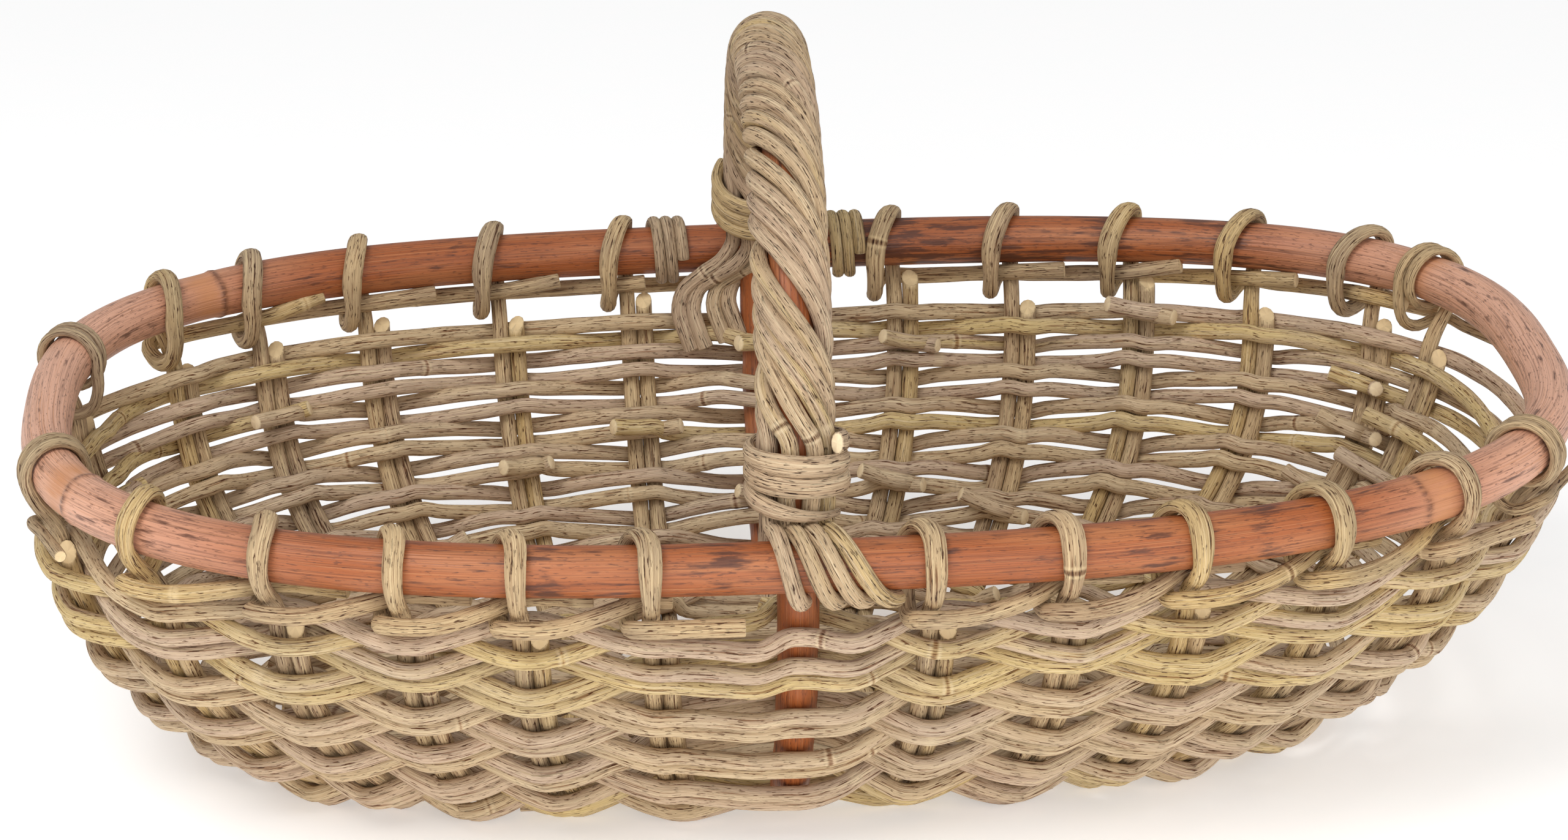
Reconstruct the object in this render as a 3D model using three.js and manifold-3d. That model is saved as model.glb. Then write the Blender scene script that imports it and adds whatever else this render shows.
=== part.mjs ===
import * as THREE from "three";
import { mergeVertices } from "three/addons/utils/BufferGeometryUtils.js";
import Module from "manifold-3d";

// A shallow oval flower basket of rattan rods, with a stained pole for its rim and a wrapped hoop handle.
// Millimetres. X runs along the basket, Y from front to back, Z up. While the pieces are made,
// zero is the middle of the rim; the last lines set the basket down on its base.

// Rim: one pole bent into a rounded oval, with its ends a little raised.
const rimHalfLength = 315;
const rimHalfWidth = 189;
const rimSquareness = 2.77;
const rimEndRise = 4;
const rimRadius = 11;

// Rods: stakes stand in pairs side by side. A course of the weave is two rods, one on the other, but each of
// the two courses at the top is a single rod.
const stakeRod = 6.6;
const weaveRod = 6.2;
const rodGap = 0.75;

// Wall and base. Levels are counted outwards from the middle of the base: some on the base, some on the wall.
const wallDepth = 143;
const levelPitch = 15;
const baseLevels = 6;
const wallLevels = 10;
const stakeTopDrop = 28.5;
const baseHalfLength = 220;
const baseSquareness = 2.6;
const baseShift = -12;
const baseRows = 6;
const baseRodRecess = 5;
const baseRodTail = 14;
const baseRowPitch = 13.8;
const depthShares = [0, 0.42, 0.944, 1];
const sideInsetShares = [0, 0.139, 0.753, 1];
const endInsetShares = [0, -0.084, 0.61, 1];
// Where the courses lie on the wall, as shares of its levels.
const pairCourseShares = [0.05, 0.15, 0.25, 0.35, 0.45, 0.55, 0.65, 0.75, 0.846];
const singleCourseShares = [0.927, 0.98];

// Where the stakes stand on the rim and cross the base, as shares of their half lengths, left to right.
const frontStakeShares = [-0.841, -0.683, -0.524, -0.378, -0.216, 0.133, 0.302, 0.46, 0.638, 0.803];
const backStakeShares = [-0.847, -0.726, -0.574, -0.38, -0.193, 0.198, 0.369, 0.541, 0.709, 0.864];
const baseStakeShares = [-0.864, -0.736, -0.59, -0.412, -0.2, 0.2, 0.412, 0.59, 0.736, 0.864];
const leftPairCount = 5;
// The pairs at the two ends of the oval, by their angle on the rim and on the base.
const endRimAngles = { frontLeft: -163.7, backLeft: 164.3, frontRight: -24.6, backRight: 23.2 };
const endBaseAngle = 14;

// Handle: a pole bent into an arch, pushed down inside the rim and through the wall.
const handleRadius = 8.3;
const handleRise = 150;
const handleLean = 20;
const handleSquareness = 2.1;
const handleFrontX = -13;
const handleBackX = -5;
const handleSeat = 0.4;
// Where the pole comes into the wall and where it ends, as shares of the wall's levels.
const handleMergeShare = 0.2;
const handleEndShare = 0.14;

// Eight rods wound round the handle, held at each foot by a collar of three turns.
const strandCount = 8;
const strandRadius = 3;
const strandGap = 1.2;
const strandTurns = 4;
const collarTurns = 3;
const collarRodRadius = 3;
const collarPitch = 7.6;
const collarFoot = 25;
const tailDrop = 20;
const tailPitch = 7;
const tailDrift = 8;

// Lashings: the left-hand rod of a pair goes over the rim, hangs down inside it, comes out under it
// and across its own pair, and is tucked inside the next pair.
const lashingRodRadius = 3;
const endLashingRadius = 2.4;
const endLashingSide = 10.6;
const lashingGap = 0.5;
const lashingRimGap = 1.75;
const lashingSide = 9;
const lashingHang = 24;
const lashingCrossDrop = 22;
const lashingTuckDrop = 14.6;
const lashingTuckInset = 4.6;
const lashingTail = 24;
const lashingShortTail = 5;
// Where its hanging part bends, as shares of its way inwards and down, and where its tail starts to climb.
const hangInsetShares = [1, 0.72, 0.26];
const hangDropShares = [0.48, 0.86, 1];
const climbShare = 0.7;
// How far below the stakes' tops its rod starts, as a share of a level, and where it begins to drift.
const rootShare = 0.6;
const driftShare = 0.4;

// Two bindings close the joint in the rim, one on each side of the handle's back foot.
const bindingTurns = 2.5;
const bindingRodRadius = 2.4;
const bindingPitch = 5.4;
const bindingFromLeftPair = 15.3;
const bindingFromRightPair = 26.4;

const stainedPole = { color: 0xb5622f, roughness: 0.55, metalness: 0 };
const wrapRattan = { color: 0xa38a5e, roughness: 0.7, metalness: 0 };
const weaveRattan = { color: 0x9c8763, roughness: 0.75, metalness: 0 };
const stakeRattan = { color: 0x7d6b4c, roughness: 0.75, metalness: 0 };

const baseHalfWidth = baseLevels * levelPitch;
const topLevel = baseLevels + wallLevels;
const handleMergeLevel = baseLevels + handleMergeShare * wallLevels;
const handleEndLevel = baseLevels + handleEndShare * wallLevels;
const handleHalfSpan = rimHalfWidth - rimRadius - handleRadius - handleSeat;
const courseOffset = stakeRod / 2 + weaveRod / 2 + rodGap;
const handleCourseOffset = handleRadius + weaveRod / 2 + rodGap;
const baseLift = courseOffset + weaveRod / 2;
const endBends = 3;
const strandOrbit = handleRadius + strandRadius + strandGap;

const wasm = await Module();
wasm.setup();

const up = new THREE.Vector3(0, 0, 1);
const basket = new THREE.Group();
const windingGaps = [];

function signedPower(value, power) {
  return Math.sign(value) * Math.abs(value) ** power;
}

function mix(a, b, share) {
  return a + (b - a) * share;
}

function addPiece(name, geometry, finish) {
  const mesh = new THREE.Mesh(geometry, new THREE.MeshStandardMaterial(finish));
  mesh.name = name;
  basket.add(mesh);
}

// Height of a Bezier curve through four control shares.
function bezier(shares, t) {
  const s = 1 - t;
  return s ** 3 * shares[0] + 3 * s * s * t * shares[1] + 3 * s * t * t * shares[2] + t ** 3 * shares[3];
}

// The side wall's profile, from the rim to the edge of the base, for its arc length.
const sideInset = rimHalfWidth - baseHalfWidth;
const endInset = rimHalfLength - baseHalfLength;
const sideProfile = new THREE.CubicBezierCurve(
  ...depthShares.map((share, i) => new THREE.Vector2(sideInsetShares[i] * sideInset, share * wallDepth)),
);

const wallPitch = (sideProfile.getLength() - stakeTopDrop) / wallLevels;

// One level of the basket: an oval on the base or round the wall.
function ovalAt(level) {
  if (level <= baseLevels) {
    const inwards = (baseLevels - level) * levelPitch;
    return {
      a: baseHalfLength - inwards,
      b: baseHalfWidth - inwards,
      depth: wallDepth,
      squareness: baseSquareness,
      shift: baseShift,
    };
  }
  const climbed = (level - baseLevels) * wallPitch;
  const t = sideProfile.getUtoTmapping(1 - climbed / sideProfile.getLength());
  const depthShare = bezier(depthShares, t);
  return {
    a: rimHalfLength - bezier(endInsetShares, t) * endInset,
    b: rimHalfWidth - bezier(sideInsetShares, t) * sideInset,
    depth: depthShare * wallDepth,
    squareness: mix(rimSquareness, baseSquareness, depthShare),
    shift: baseShift * depthShare,
  };
}

const rimOval = { a: rimHalfLength, b: rimHalfWidth, depth: 0, squareness: rimSquareness, shift: 0 };

function ovalPoint(oval, angle) {
  const power = 2 / oval.squareness;
  const x = oval.a * signedPower(Math.cos(angle), power);
  const y = oval.b * signedPower(Math.sin(angle), power);
  const rise = rimEndRise * (x / rimHalfLength) ** 2 * (1 - oval.depth / wallDepth);
  return new THREE.Vector3(x + oval.shift, y, rise - oval.depth);
}

// Direction along an oval, anticlockwise from above.
function ovalTangent(oval, angle) {
  const x = (ovalPoint(oval, angle).x - oval.shift) / oval.a;
  const y = ovalPoint(oval, angle).y / oval.b;
  const power = oval.squareness - 1;
  return new THREE.Vector3(-signedPower(y, power) / oval.b, signedPower(x, power) / oval.a, 0).normalize();
}

// The angle at which an oval has a given X, on the front (side -1) or the back (side 1).
function angleAtX(oval, x, side) {
  const share = THREE.MathUtils.clamp((x - oval.shift) / oval.a, -1, 1);
  return side * Math.acos(signedPower(share, oval.squareness / 2));
}

// How far a stake has moved from its place on the rim to its place on the base.
function settled(oval) {
  return (oval.depth / wallDepth) ** 3;
}

// A surface swept over stations, each a ring of corner points; it closes on itself or has end caps.
function sweep(stations, closed) {
  const sides = stations[0].length;
  const positions = stations.flat().flatMap((p) => [p.x, p.y, p.z]);
  const index = [];
  const spans = closed ? stations.length : stations.length - 1;
  for (let i = 0; i < spans; i++) {
    const next = ((i + 1) % stations.length) * sides;
    for (let k = 0; k < sides; k++) {
      const a = i * sides + k;
      const b = i * sides + ((k + 1) % sides);
      const c = next + ((k + 1) % sides);
      const d = next + k;
      index.push(a, b, c, a, c, d);
    }
  }
  const last = (stations.length - 1) * sides;
  for (let k = 1; !closed && k < sides - 1; k++) {
    index.push(0, k + 1, k, last, last + k, last + k + 1);
  }
  return facingOut(new THREE.Float32BufferAttribute(positions, 3), index);
}

function facingOut(position, index) {
  const [a, b, c] = [new THREE.Vector3(), new THREE.Vector3(), new THREE.Vector3()];
  let volume = 0;
  for (let i = 0; i < index.length; i += 3) {
    a.fromBufferAttribute(position, index[i]);
    b.fromBufferAttribute(position, index[i + 1]);
    c.fromBufferAttribute(position, index[i + 2]);
    volume += a.dot(b.cross(c));
  }
  const geometry = new THREE.BufferGeometry().setAttribute("position", position);
  return geometry.setIndex(volume < 0 ? index.toReversed() : index);
}

function corners(centre, across, out, halfWidth, halfThickness) {
  return [
    [-halfWidth, -halfThickness],
    [halfWidth, -halfThickness],
    [halfWidth, halfThickness],
    [-halfWidth, halfThickness],
  ].map(([u, v]) => centre.clone().addScaledVector(across, u).addScaledVector(out, v));
}

// A round rod through points, with its section carried along without twist.
function rod(points, radius, sides) {
  let across = null;
  const stations = points.map((point, i) => {
    const ahead = points[Math.min(i + 1, points.length - 1)].clone();
    const tangent = ahead.sub(points[Math.max(i - 1, 0)]).normalize();
    if (!across) {
      across = new THREE.Vector3().crossVectors(tangent, Math.abs(tangent.z) < 0.8 ? up : new THREE.Vector3(1, 0, 0));
    }
    across = across.clone().addScaledVector(tangent, -across.dot(tangent)).normalize();
    const out = new THREE.Vector3().crossVectors(tangent, across);
    return Array.from({ length: sides }, (_, k) => {
      const turn = (2 * Math.PI * k) / sides;
      return point
        .clone()
        .addScaledVector(across, radius * Math.cos(turn))
        .addScaledVector(out, radius * Math.sin(turn));
    });
  });
  return sweep(stations, false);
}

// Least free gap between turns of a winding: points nearer along the rod than half a turn are left out.
function leastGap(points, radius, stepsPerTurn) {
  let least = Infinity;
  for (let i = 0; i < points.length; i++) {
    for (let k = i + Math.ceil(stepsPerTurn / 2); k < points.length; k++) {
      least = Math.min(least, points[i].distanceTo(points[k]) - 2 * radius);
    }
  }
  return least;
}

function joined(geometries) {
  const solids = geometries.map((geometry) => {
    const merged = mergeVertices(geometry);
    const vertProperties = new Float32Array(merged.attributes.position.array);
    return new wasm.Manifold(new wasm.Mesh({ numProp: 3, vertProperties, triVerts: new Uint32Array(merged.index.array) }));
  });
  const mesh = solids.reduce((whole, solid) => whole.add(solid)).getMesh();
  const position = new THREE.Float32BufferAttribute(mesh.vertProperties, 3);
  return new THREE.BufferGeometry().setAttribute("position", position).setIndex([...mesh.triVerts]);
}

// Rim hoop.
function rimHoop() {
  const steps = 60;
  const sides = 8;
  const stations = Array.from({ length: steps }, (_, i) => {
    const angle = (2 * Math.PI * i) / steps;
    const centre = ovalPoint(rimOval, angle);
    const tangent = ovalTangent(rimOval, angle);
    const out = new THREE.Vector3().crossVectors(tangent, up);
    return Array.from({ length: sides }, (_, k) => {
      const turn = (2 * Math.PI * k) / sides;
      return centre
        .clone()
        .addScaledVector(out, rimRadius * Math.cos(turn))
        .addScaledVector(up, rimRadius * Math.sin(turn));
    });
  });
  addPiece("rim_hoop", sweep(stations, true), stainedPole);
}

// A stake's place on one level, with the directions along the course and straight down the wall.
function standing(level, angleOf) {
  const oval = ovalAt(level);
  const angle = angleOf(oval);
  const upper = ovalAt(level + 0.5);
  const lower = ovalAt(Math.max(level - 0.5, 0));
  const down = ovalPoint(lower, angle).sub(ovalPoint(upper, angle)).normalize();
  const along = ovalTangent(oval, angle);
  along.addScaledVector(down, -along.dot(down)).normalize();
  return { point: ovalPoint(oval, angle), along, down, out: new THREE.Vector3().crossVectors(down, along) };
}

// Stakes: cross pairs run from the front rim under the base to the back rim.
const crossPairs = baseStakeShares.map((baseShare, i) => {
  const angleOn = (side, rimShare) => (oval) => {
    const x = mix(rimShare * rimHalfLength, baseShift + baseShare * baseHalfLength, settled(oval));
    return angleAtX(oval, x, side);
  };
  return { front: angleOn(-1, frontStakeShares[i]), back: angleOn(1, backStakeShares[i]) };
});

const endPairs = Object.entries(endRimAngles).map(([name, rimAngle]) => {
  const baseAngle = Math.abs(rimAngle) > 90 ? 180 - endBaseAngle : endBaseAngle;
  const angle = (oval) =>
    THREE.MathUtils.degToRad(mix(rimAngle, Math.sign(rimAngle) * baseAngle, settled(oval)));
  return { name, angle };
});

// The handle's pole starts at its seat inside the rim and comes gradually into the wall.
function handlePoint(level, side) {
  const x = side < 0 ? handleFrontX : handleBackX;
  const onWall = (at) => ovalPoint(ovalAt(at), angleAtX(ovalAt(at), x, side));
  const point = onWall(level);
  const share = Math.max(level - handleMergeLevel, 0) / (topLevel - handleMergeLevel);
  const seatInset = Math.abs(onWall(topLevel).y) - handleHalfSpan;
  point.y -= side * seatInset * share ** 2;
  return point;
}

// Corner stations of a pair of stakes down the wall, from the top level to the base.
function wallStations(angleOf, lowest) {
  const stations = [];
  for (let level = topLevel; level >= lowest; level--) {
    const { point, along, out } = standing(level, angleOf);
    stations.push({ point, along, out });
  }
  return stations;
}

// A lashing rises outside the rim and goes round it, once or twice, drifting to the left.
// It comes out under the rim, crosses in front of its own pair and ends inside the next pair, if there is one.
function lashing({ angleOf, nextAngleOf, side, turns, radius, shift, tail }) {
  const rimAngle = angleOf(rimOval);
  const toNext = nextAngleOf ? nextAngleOf(rimOval) - rimAngle : 0;
  const at = (share, outwards, upwards, rightwards) => {
    const angle = rimAngle + share * toNext;
    const along = ovalTangent(rimOval, angle).multiplyScalar(-side);
    const out = new THREE.Vector3().crossVectors(along, up).multiplyScalar(-side);
    return ovalPoint(rimOval, angle)
      .addScaledVector(out, outwards)
      .addScaledVector(up, upwards)
      .addScaledVector(along, rightwards);
  };
  const orbit = rimRadius + lashingRimGap + radius;
  const left = -stakeRod / 2;
  const top = standing(topLevel, angleOf);
  const below = standing(topLevel - 1, angleOf);
  const sideways = -side * left;
  const toTop = top.point.clone().sub(at(0, 0, 0, 0));
  const out = at(0, 1, 0, 0).sub(at(0, 0, 0, 0));
  const start = new THREE.Vector2(toTop.dot(out), toTop.z);
  const leave = start.angle() - 2 * Math.PI + Math.acos(orbit / start.length());
  const leavePoint = new THREE.Vector2(Math.cos(leave), Math.sin(leave)).multiplyScalar(orbit);
  const rise = leavePoint.clone().sub(start).normalize();
  const points = [
    top.point.clone().lerp(below.point, rootShare).addScaledVector(below.along, sideways),
    top.point.clone().addScaledVector(top.along, sideways),
  ];
  const finish = THREE.MathUtils.degToRad(190) + 2 * Math.PI * (turns - 1);
  const steps = 5 + 9 * (turns - 1);
  for (let i = 0; i <= steps; i++) {
    const turn = mix(leave, finish, i / steps);
    const drift = turns > 1 ? i / steps : THREE.MathUtils.smoothstep(i / steps, driftShare, 1);
    points.push(at(0, orbit * Math.cos(turn), orbit * Math.sin(turn), left - shift * drift));
  }
  const clear = 2 * radius + lashingGap;
  const climb = (start.y + lashingCrossDrop - rise.x * clear) / -rise.y;
  const crossing = start.x + climb * rise.x + clear * rise.y;
  hangInsetShares.forEach((inset, i) => {
    points.push(at(0, -orbit * inset, -lashingHang * hangDropShares[i], left - shift));
  });
  points.push(at(0, crossing, -lashingCrossDrop, left - shift / 2));
  points.push(at(0, crossing, -lashingCrossDrop, stakeRod));
  if (nextAngleOf) {
    points.push(at(climbShare, 0, -mix(lashingCrossDrop, lashingTuckDrop, climbShare), 0));
    points.push(at(1, -lashingTuckInset, -lashingTuckDrop, -stakeRod - lashingGap));
    points.push(at(1, -lashingTuckInset, -lashingTuckDrop, tail));
  } else {
    points.push(at(0, crossing, -lashingCrossDrop, stakeRod + tail));
  }
  return rod(points, radius, 5);
}

function pairStations(stations) {
  return stations.map(({ point, along, out }) => corners(point, along, out, stakeRod, stakeRod / 2));
}

function addStakes() {
  crossPairs.forEach(({ front, back }, i) => {
    const backStations = wallStations(back, baseLevels).reverse();
    backStations.forEach((station) => station.along.negate());
    const band = sweep(pairStations([...wallStations(front, baseLevels), ...backStations]), false);
    const next = i + 1 === leftPairCount ? undefined : crossPairs[i + 1];
    const tail = i + 2 === leftPairCount ? lashingShortTail : lashingTail;
    const rods = { turns: 1, radius: lashingRodRadius, shift: lashingSide, tail };
    const lashings = [
      lashing({ angleOf: front, nextAngleOf: next?.front, side: -1, ...rods }),
      lashing({ angleOf: back, nextAngleOf: next?.back, side: 1, ...rods }),
    ];
    const number = String(i + 1).padStart(2, "0");
    addPiece("cross_stakes_" + number, joined([band, ...lashings]), stakeRattan);
  });
  endPairs.forEach(({ name, angle }) => {
    const band = sweep(pairStations(wallStations(angle, baseLevels - 1)), false);
    const side = name.startsWith("front") ? -1 : 1;
    const rods = { turns: 2, radius: endLashingRadius, shift: endLashingSide, tail: lashingTail };
    const wraps = lashing({ angleOf: angle, side, ...rods });
    const piece = name.replace(/[A-Z]/, (letter) => "_" + letter.toLowerCase());
    addPiece("end_stakes_" + piece, joined([band, wraps]), stakeRattan);
  });
}

// Where a wall course crosses the upright pieces, in order round the basket from the front left.
function crossings(level, halfWidth) {
  const oval = ovalAt(level);
  const stakeAt = (angleOf) => {
    const below = Math.min(Math.floor(level), topLevel - 1);
    const point = standing(below, angleOf).point.lerp(standing(below + 1, angleOf).point, level - below);
    const { along } = standing(level, angleOf);
    const lean = standing(level - 0.5, angleOf).point.sub(standing(level + 0.5, angleOf).point).normalize();
    const out = new THREE.Vector3().crossVectors(lean, along).normalize();
    const down = new THREE.Vector3().crossVectors(along, out);
    const slant = Math.abs(lean.dot(along));
    const reach = (stakeRod + halfWidth * slant) / Math.sqrt(1 - slant * slant) + rodGap;
    return { point, along, down, out, offset: courseOffset, reach, angle: angleOf(oval) };
  };
  const handleAt = (side) => {
    const angleOf = (at) => angleAtX(at, side < 0 ? handleFrontX : handleBackX, side);
    const place = standing(level, angleOf);
    const upper = handlePoint(level + 0.5, side);
    const point = handlePoint(level - 0.5, side).add(upper).multiplyScalar(0.5);
    const down = point.clone().sub(upper).normalize();
    const out = new THREE.Vector3().crossVectors(down, place.along);
    const offset = level < handleEndLevel ? rodGap : handleCourseOffset;
    return { ...place, point, down, out, offset, reach: handleRadius + rodGap, angle: angleOf(oval) };
  };
  const end = Object.fromEntries(endPairs.map(({ name, angle }) => [name, stakeAt(angle)]));
  const fronts = crossPairs.map(({ front }) => stakeAt(front));
  const backs = crossPairs.map(({ back }) => stakeAt(back)).reverse();
  const rightOfHandle = crossPairs.length - leftPairCount;
  const places = [
    end.frontLeft,
    ...fronts.slice(0, leftPairCount),
    handleAt(-1),
    ...fronts.slice(leftPairCount),
    end.frontRight,
    end.backRight,
    ...backs.slice(0, rightOfHandle),
    handleAt(1),
    ...backs.slice(rightOfHandle),
    end.backLeft,
  ];
  const frontFoot = leftPairCount + 1;
  const rightEnd = frontFoot + rightOfHandle + 2;
  return places.map((place, i) => ({ ...place, turn: i - (i >= frontFoot) - (i >= rightEnd) }));
}

// One course of the wall: a closed band that passes outside one stake and inside the next. The handle's front
// foot counts as one with the stakes before it, and so do the last stakes at the right end.
function wallCourse(number, level, halfWidth) {
  const oval = ovalAt(level);
  const places = crossings(level, halfWidth);
  const stations = [];
  places.forEach((place, i) => {
    const side = (place.turn + number) % 2 ? -1 : 1;
    const next = places[(i + 1) % places.length];
    const nextSide = (next.turn + number) % 2 ? -1 : 1;
    const centre = place.point.clone().addScaledVector(place.out, side * place.offset);
    [-place.reach, place.reach].forEach((shift) => {
      const at = centre.clone().addScaledVector(place.along, shift);
      stations.push(corners(at, place.down, place.out, halfWidth, weaveRod / 2));
    });
    const span = THREE.MathUtils.euclideanModulo(next.angle - place.angle, 2 * Math.PI);
    const isEnd = place.point.x * next.point.x > 0 && place.point.y * next.point.y < 0;
    for (let k = 1; isEnd && k <= endBends; k++) {
      const share = k / (endBends + 1);
      const angle = place.angle + span * share;
      const between = standing(level, () => angle);
      const at = ovalPoint(oval, angle).addScaledVector(between.out, mix(side, nextSide, share) * courseOffset);
      stations.push(corners(at, between.down, between.out, halfWidth, weaveRod / 2));
    }
  });
  return sweep(stations, true);
}

// Base rods: straight pairs laid lengthways, over one cross stake and under the next.
function baseRod(row, side) {
  const y = side * (row + 0.5) * baseRowPitch;
  const inner = ovalAt(baseLevels);
  const edge = (Math.abs(y) + weaveRod) / inner.b;
  const reach = inner.a * (1 - edge ** inner.squareness) ** (1 / inner.squareness) - baseRodRecess;
  const out = new THREE.Vector3(0, 0, -1);
  const across = new THREE.Vector3(0, 1, 0);
  const stations = [];
  const put = (x, offset) =>
    stations.push(corners(new THREE.Vector3(x, y, -wallDepth).addScaledVector(out, offset), across, out, weaveRod, weaveRod / 2));
  const crossed = baseStakeShares
    .map((share, i) => ({ x: baseShift + share * baseHalfLength, number: i < leftPairCount ? i + 1 : i + 2 }))
    .filter(({ x }) => Math.abs(x - baseShift) < reach - stakeRod - 2 * rodGap);
  const besideStake = stakeRod + rodGap;
  crossed.forEach(({ x, number }, i) => {
    const offset = ((number + row + (side < 0 ? 1 : 0)) % 2 ? -1 : 1) * courseOffset;
    if (i === 0) put(Math.max(baseShift - reach, x - besideStake - baseRodTail), offset);
    put(x - besideStake, offset);
    put(x + besideStake, offset);
    if (i === crossed.length - 1) put(Math.min(baseShift + reach, x + besideStake + baseRodTail), offset);
  });
  return sweep(stations, false);
}

function addWeave() {
  const courses = [...pairCourseShares, ...singleCourseShares];
  courses.forEach((share, i) => {
    const level = baseLevels + share * wallLevels;
    const number = String(courses.length - i).padStart(2, "0");
    const halfWidth = i < pairCourseShares.length ? weaveRod : weaveRod / 2;
    addPiece("wall_course_" + number, wallCourse(i + 1, level, halfWidth), weaveRattan);
  });
  for (let row = 0; row < baseRows; row++) {
    const number = String(row + 1).padStart(2, "0");
    addPiece("base_rods_front_" + number, baseRod(row, -1), weaveRattan);
    addPiece("base_rods_back_" + number, baseRod(row, 1), weaveRattan);
  }
}

// The arch of the handle above the rim, from its front foot to its back foot.
class Arch extends THREE.Curve {
  getPoint(t) {
    const angle = Math.PI * t;
    const power = 2 / handleSquareness;
    const rise = Math.abs(Math.sin(angle)) ** power;
    const y = -handleHalfSpan * signedPower(Math.cos(angle), power) - handleLean * rise;
    const x = mix(handleFrontX, handleBackX, (y / handleHalfSpan + 1) / 2);
    return new THREE.Vector3(x, y, handleRise * rise);
  }
}
const arch = new Arch();
arch.arcLengthDivisions = 2000;

function handleBow() {
  const steps = 24;
  const foot = (side) => {
    const points = [];
    for (let level = topLevel; level > handleEndLevel; level--) points.push(handlePoint(level, side));
    return [...points, handlePoint(handleEndLevel, side)];
  };
  const overTop = Array.from({ length: steps + 1 }, (_, i) => arch.getPointAt(i / steps));
  const path = [...foot(-1).reverse(), ...overTop, ...foot(1)];
  addPiece("handle_bow", rod(path, handleRadius, 8), stainedPole);
}

// Direction away from the middle of the arch, square to it, and the direction across the handle.
const acrossHandle = new THREE.Vector3(2 * handleHalfSpan, handleFrontX - handleBackX, 0).normalize();
function archOut(u) {
  return new THREE.Vector3().crossVectors(arch.getTangentAt(u), acrossHandle).negate();
}

function strandPoint(u, turn) {
  return arch
    .getPointAt(u)
    .addScaledVector(archOut(u), strandOrbit * Math.cos(turn))
    .addScaledVector(acrossHandle, strandOrbit * Math.sin(turn));
}

// A strand's end at one foot. The outer four go over the rim and under it, the inner four end beside the pole.
function strandTail(side, turn) {
  const foot = strandPoint(side < 0 ? 0 : 1, turn);
  if (Math.cos(turn) < 0) return [foot, foot.clone().addScaledVector(up, -tailDrop)];
  const centre = ovalPoint(rimOval, angleAtX(rimOval, side < 0 ? handleFrontX : handleBackX, side));
  const right = new THREE.Vector3(-side, 0, 0);
  const place = -side * Math.sin(turn) * strandOrbit;
  const row = Math.sign(place) * (Math.abs(place) > strandOrbit / 2 ? 1.5 : 0.5) * tailPitch;
  const radius = rimRadius + rodGap + strandRadius;
  const bends = [112, 84, 56, 28, 0, -28, -56, -84];
  return bends.map((bend, i) => {
    const angle = THREE.MathUtils.degToRad(bend);
    return new THREE.Vector3(centre.x, centre.y, centre.z)
      .addScaledVector(right, row + (tailDrift * i) / (bends.length - 1))
      .add(new THREE.Vector3(0, side * radius * Math.cos(angle), radius * Math.sin(angle)));
  });
}

function addStrands() {
  const length = arch.getLength();
  const calm = collarFoot + (collarTurns + 0.5) * collarPitch;
  const stepsPerTurn = 8;
  const steps = strandTurns * stepsPerTurn;
  const bendStart = 2 * rimRadius;
  for (let n = 0; n < strandCount; n++) {
    const first = (2 * Math.PI * (n + 0.5)) / strandCount;
    const outer = Math.cos(first) > 0;
    const winding = [];
    const straight = outer ? [bendStart, calm] : [0, calm / 2, calm];
    const path = [];
    straight.slice(0, -1).forEach((along) => path.push(strandPoint(along / length, first)));
    for (let i = 0; i <= steps; i++) {
      const u = mix(calm, length - calm, i / steps) / length;
      winding.push(strandPoint(u, first - (2 * Math.PI * strandTurns * i) / steps));
    }
    path.push(...winding);
    straight.slice(0, -1).reverse().forEach((along) => path.push(strandPoint(1 - along / length, first)));
    const frontTail = outer ? strandTail(-1, first).reverse() : [strandTail(-1, first)[1]];
    const backTail = outer ? strandTail(1, first) : [strandTail(1, first)[1]];
    windingGaps.push(leastGap(winding, strandRadius, stepsPerTurn));
    const name = "handle_strand_" + (n + 1);
    addPiece(name, rod([...frontTail, ...path, ...backTail], strandRadius, 5), wrapRattan);
  }
}

// A collar of close turns round the strands above each foot.
function collar(side) {
  const length = arch.getLength();
  const orbit = strandOrbit + strandRadius + rodGap + collarRodRadius;
  const stepsPerTurn = 12;
  const steps = collarTurns * stepsPerTurn;
  const points = Array.from({ length: steps + 1 }, (_, i) => {
    const along = collarFoot + (collarPitch * i) / stepsPerTurn;
    const u = side < 0 ? along / length : 1 - along / length;
    const turn = (-side * 2 * Math.PI * i) / stepsPerTurn;
    return arch
      .getPointAt(u)
      .addScaledVector(archOut(u), orbit * Math.cos(turn))
      .addScaledVector(acrossHandle, orbit * Math.sin(turn));
  });
  windingGaps.push(leastGap(points, collarRodRadius, stepsPerTurn));
  addPiece(side < 0 ? "front_collar" : "back_collar", rod(points, collarRodRadius, 5), wrapRattan);
}

// Turns of rod that close the joint of the rim.
function binding(centreX, name) {
  const orbit = rimRadius + rodGap + bindingRodRadius;
  const stepsPerTurn = 12;
  const steps = bindingTurns * stepsPerTurn;
  const points = Array.from({ length: steps + 1 }, (_, i) => {
    const x = centreX + bindingPitch * (i / stepsPerTurn - bindingTurns / 2);
    const angle = angleAtX(rimOval, x, 1);
    const out = new THREE.Vector3().crossVectors(ovalTangent(rimOval, angle), up);
    const turn = (2 * Math.PI * i) / stepsPerTurn;
    return ovalPoint(rimOval, angle)
      .addScaledVector(out, orbit * Math.cos(turn))
      .addScaledVector(up, orbit * Math.sin(turn));
  });
  windingGaps.push(leastGap(points, bindingRodRadius, stepsPerTurn));
  addPiece(name, rod(points, bindingRodRadius, 5), wrapRattan);
}

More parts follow.
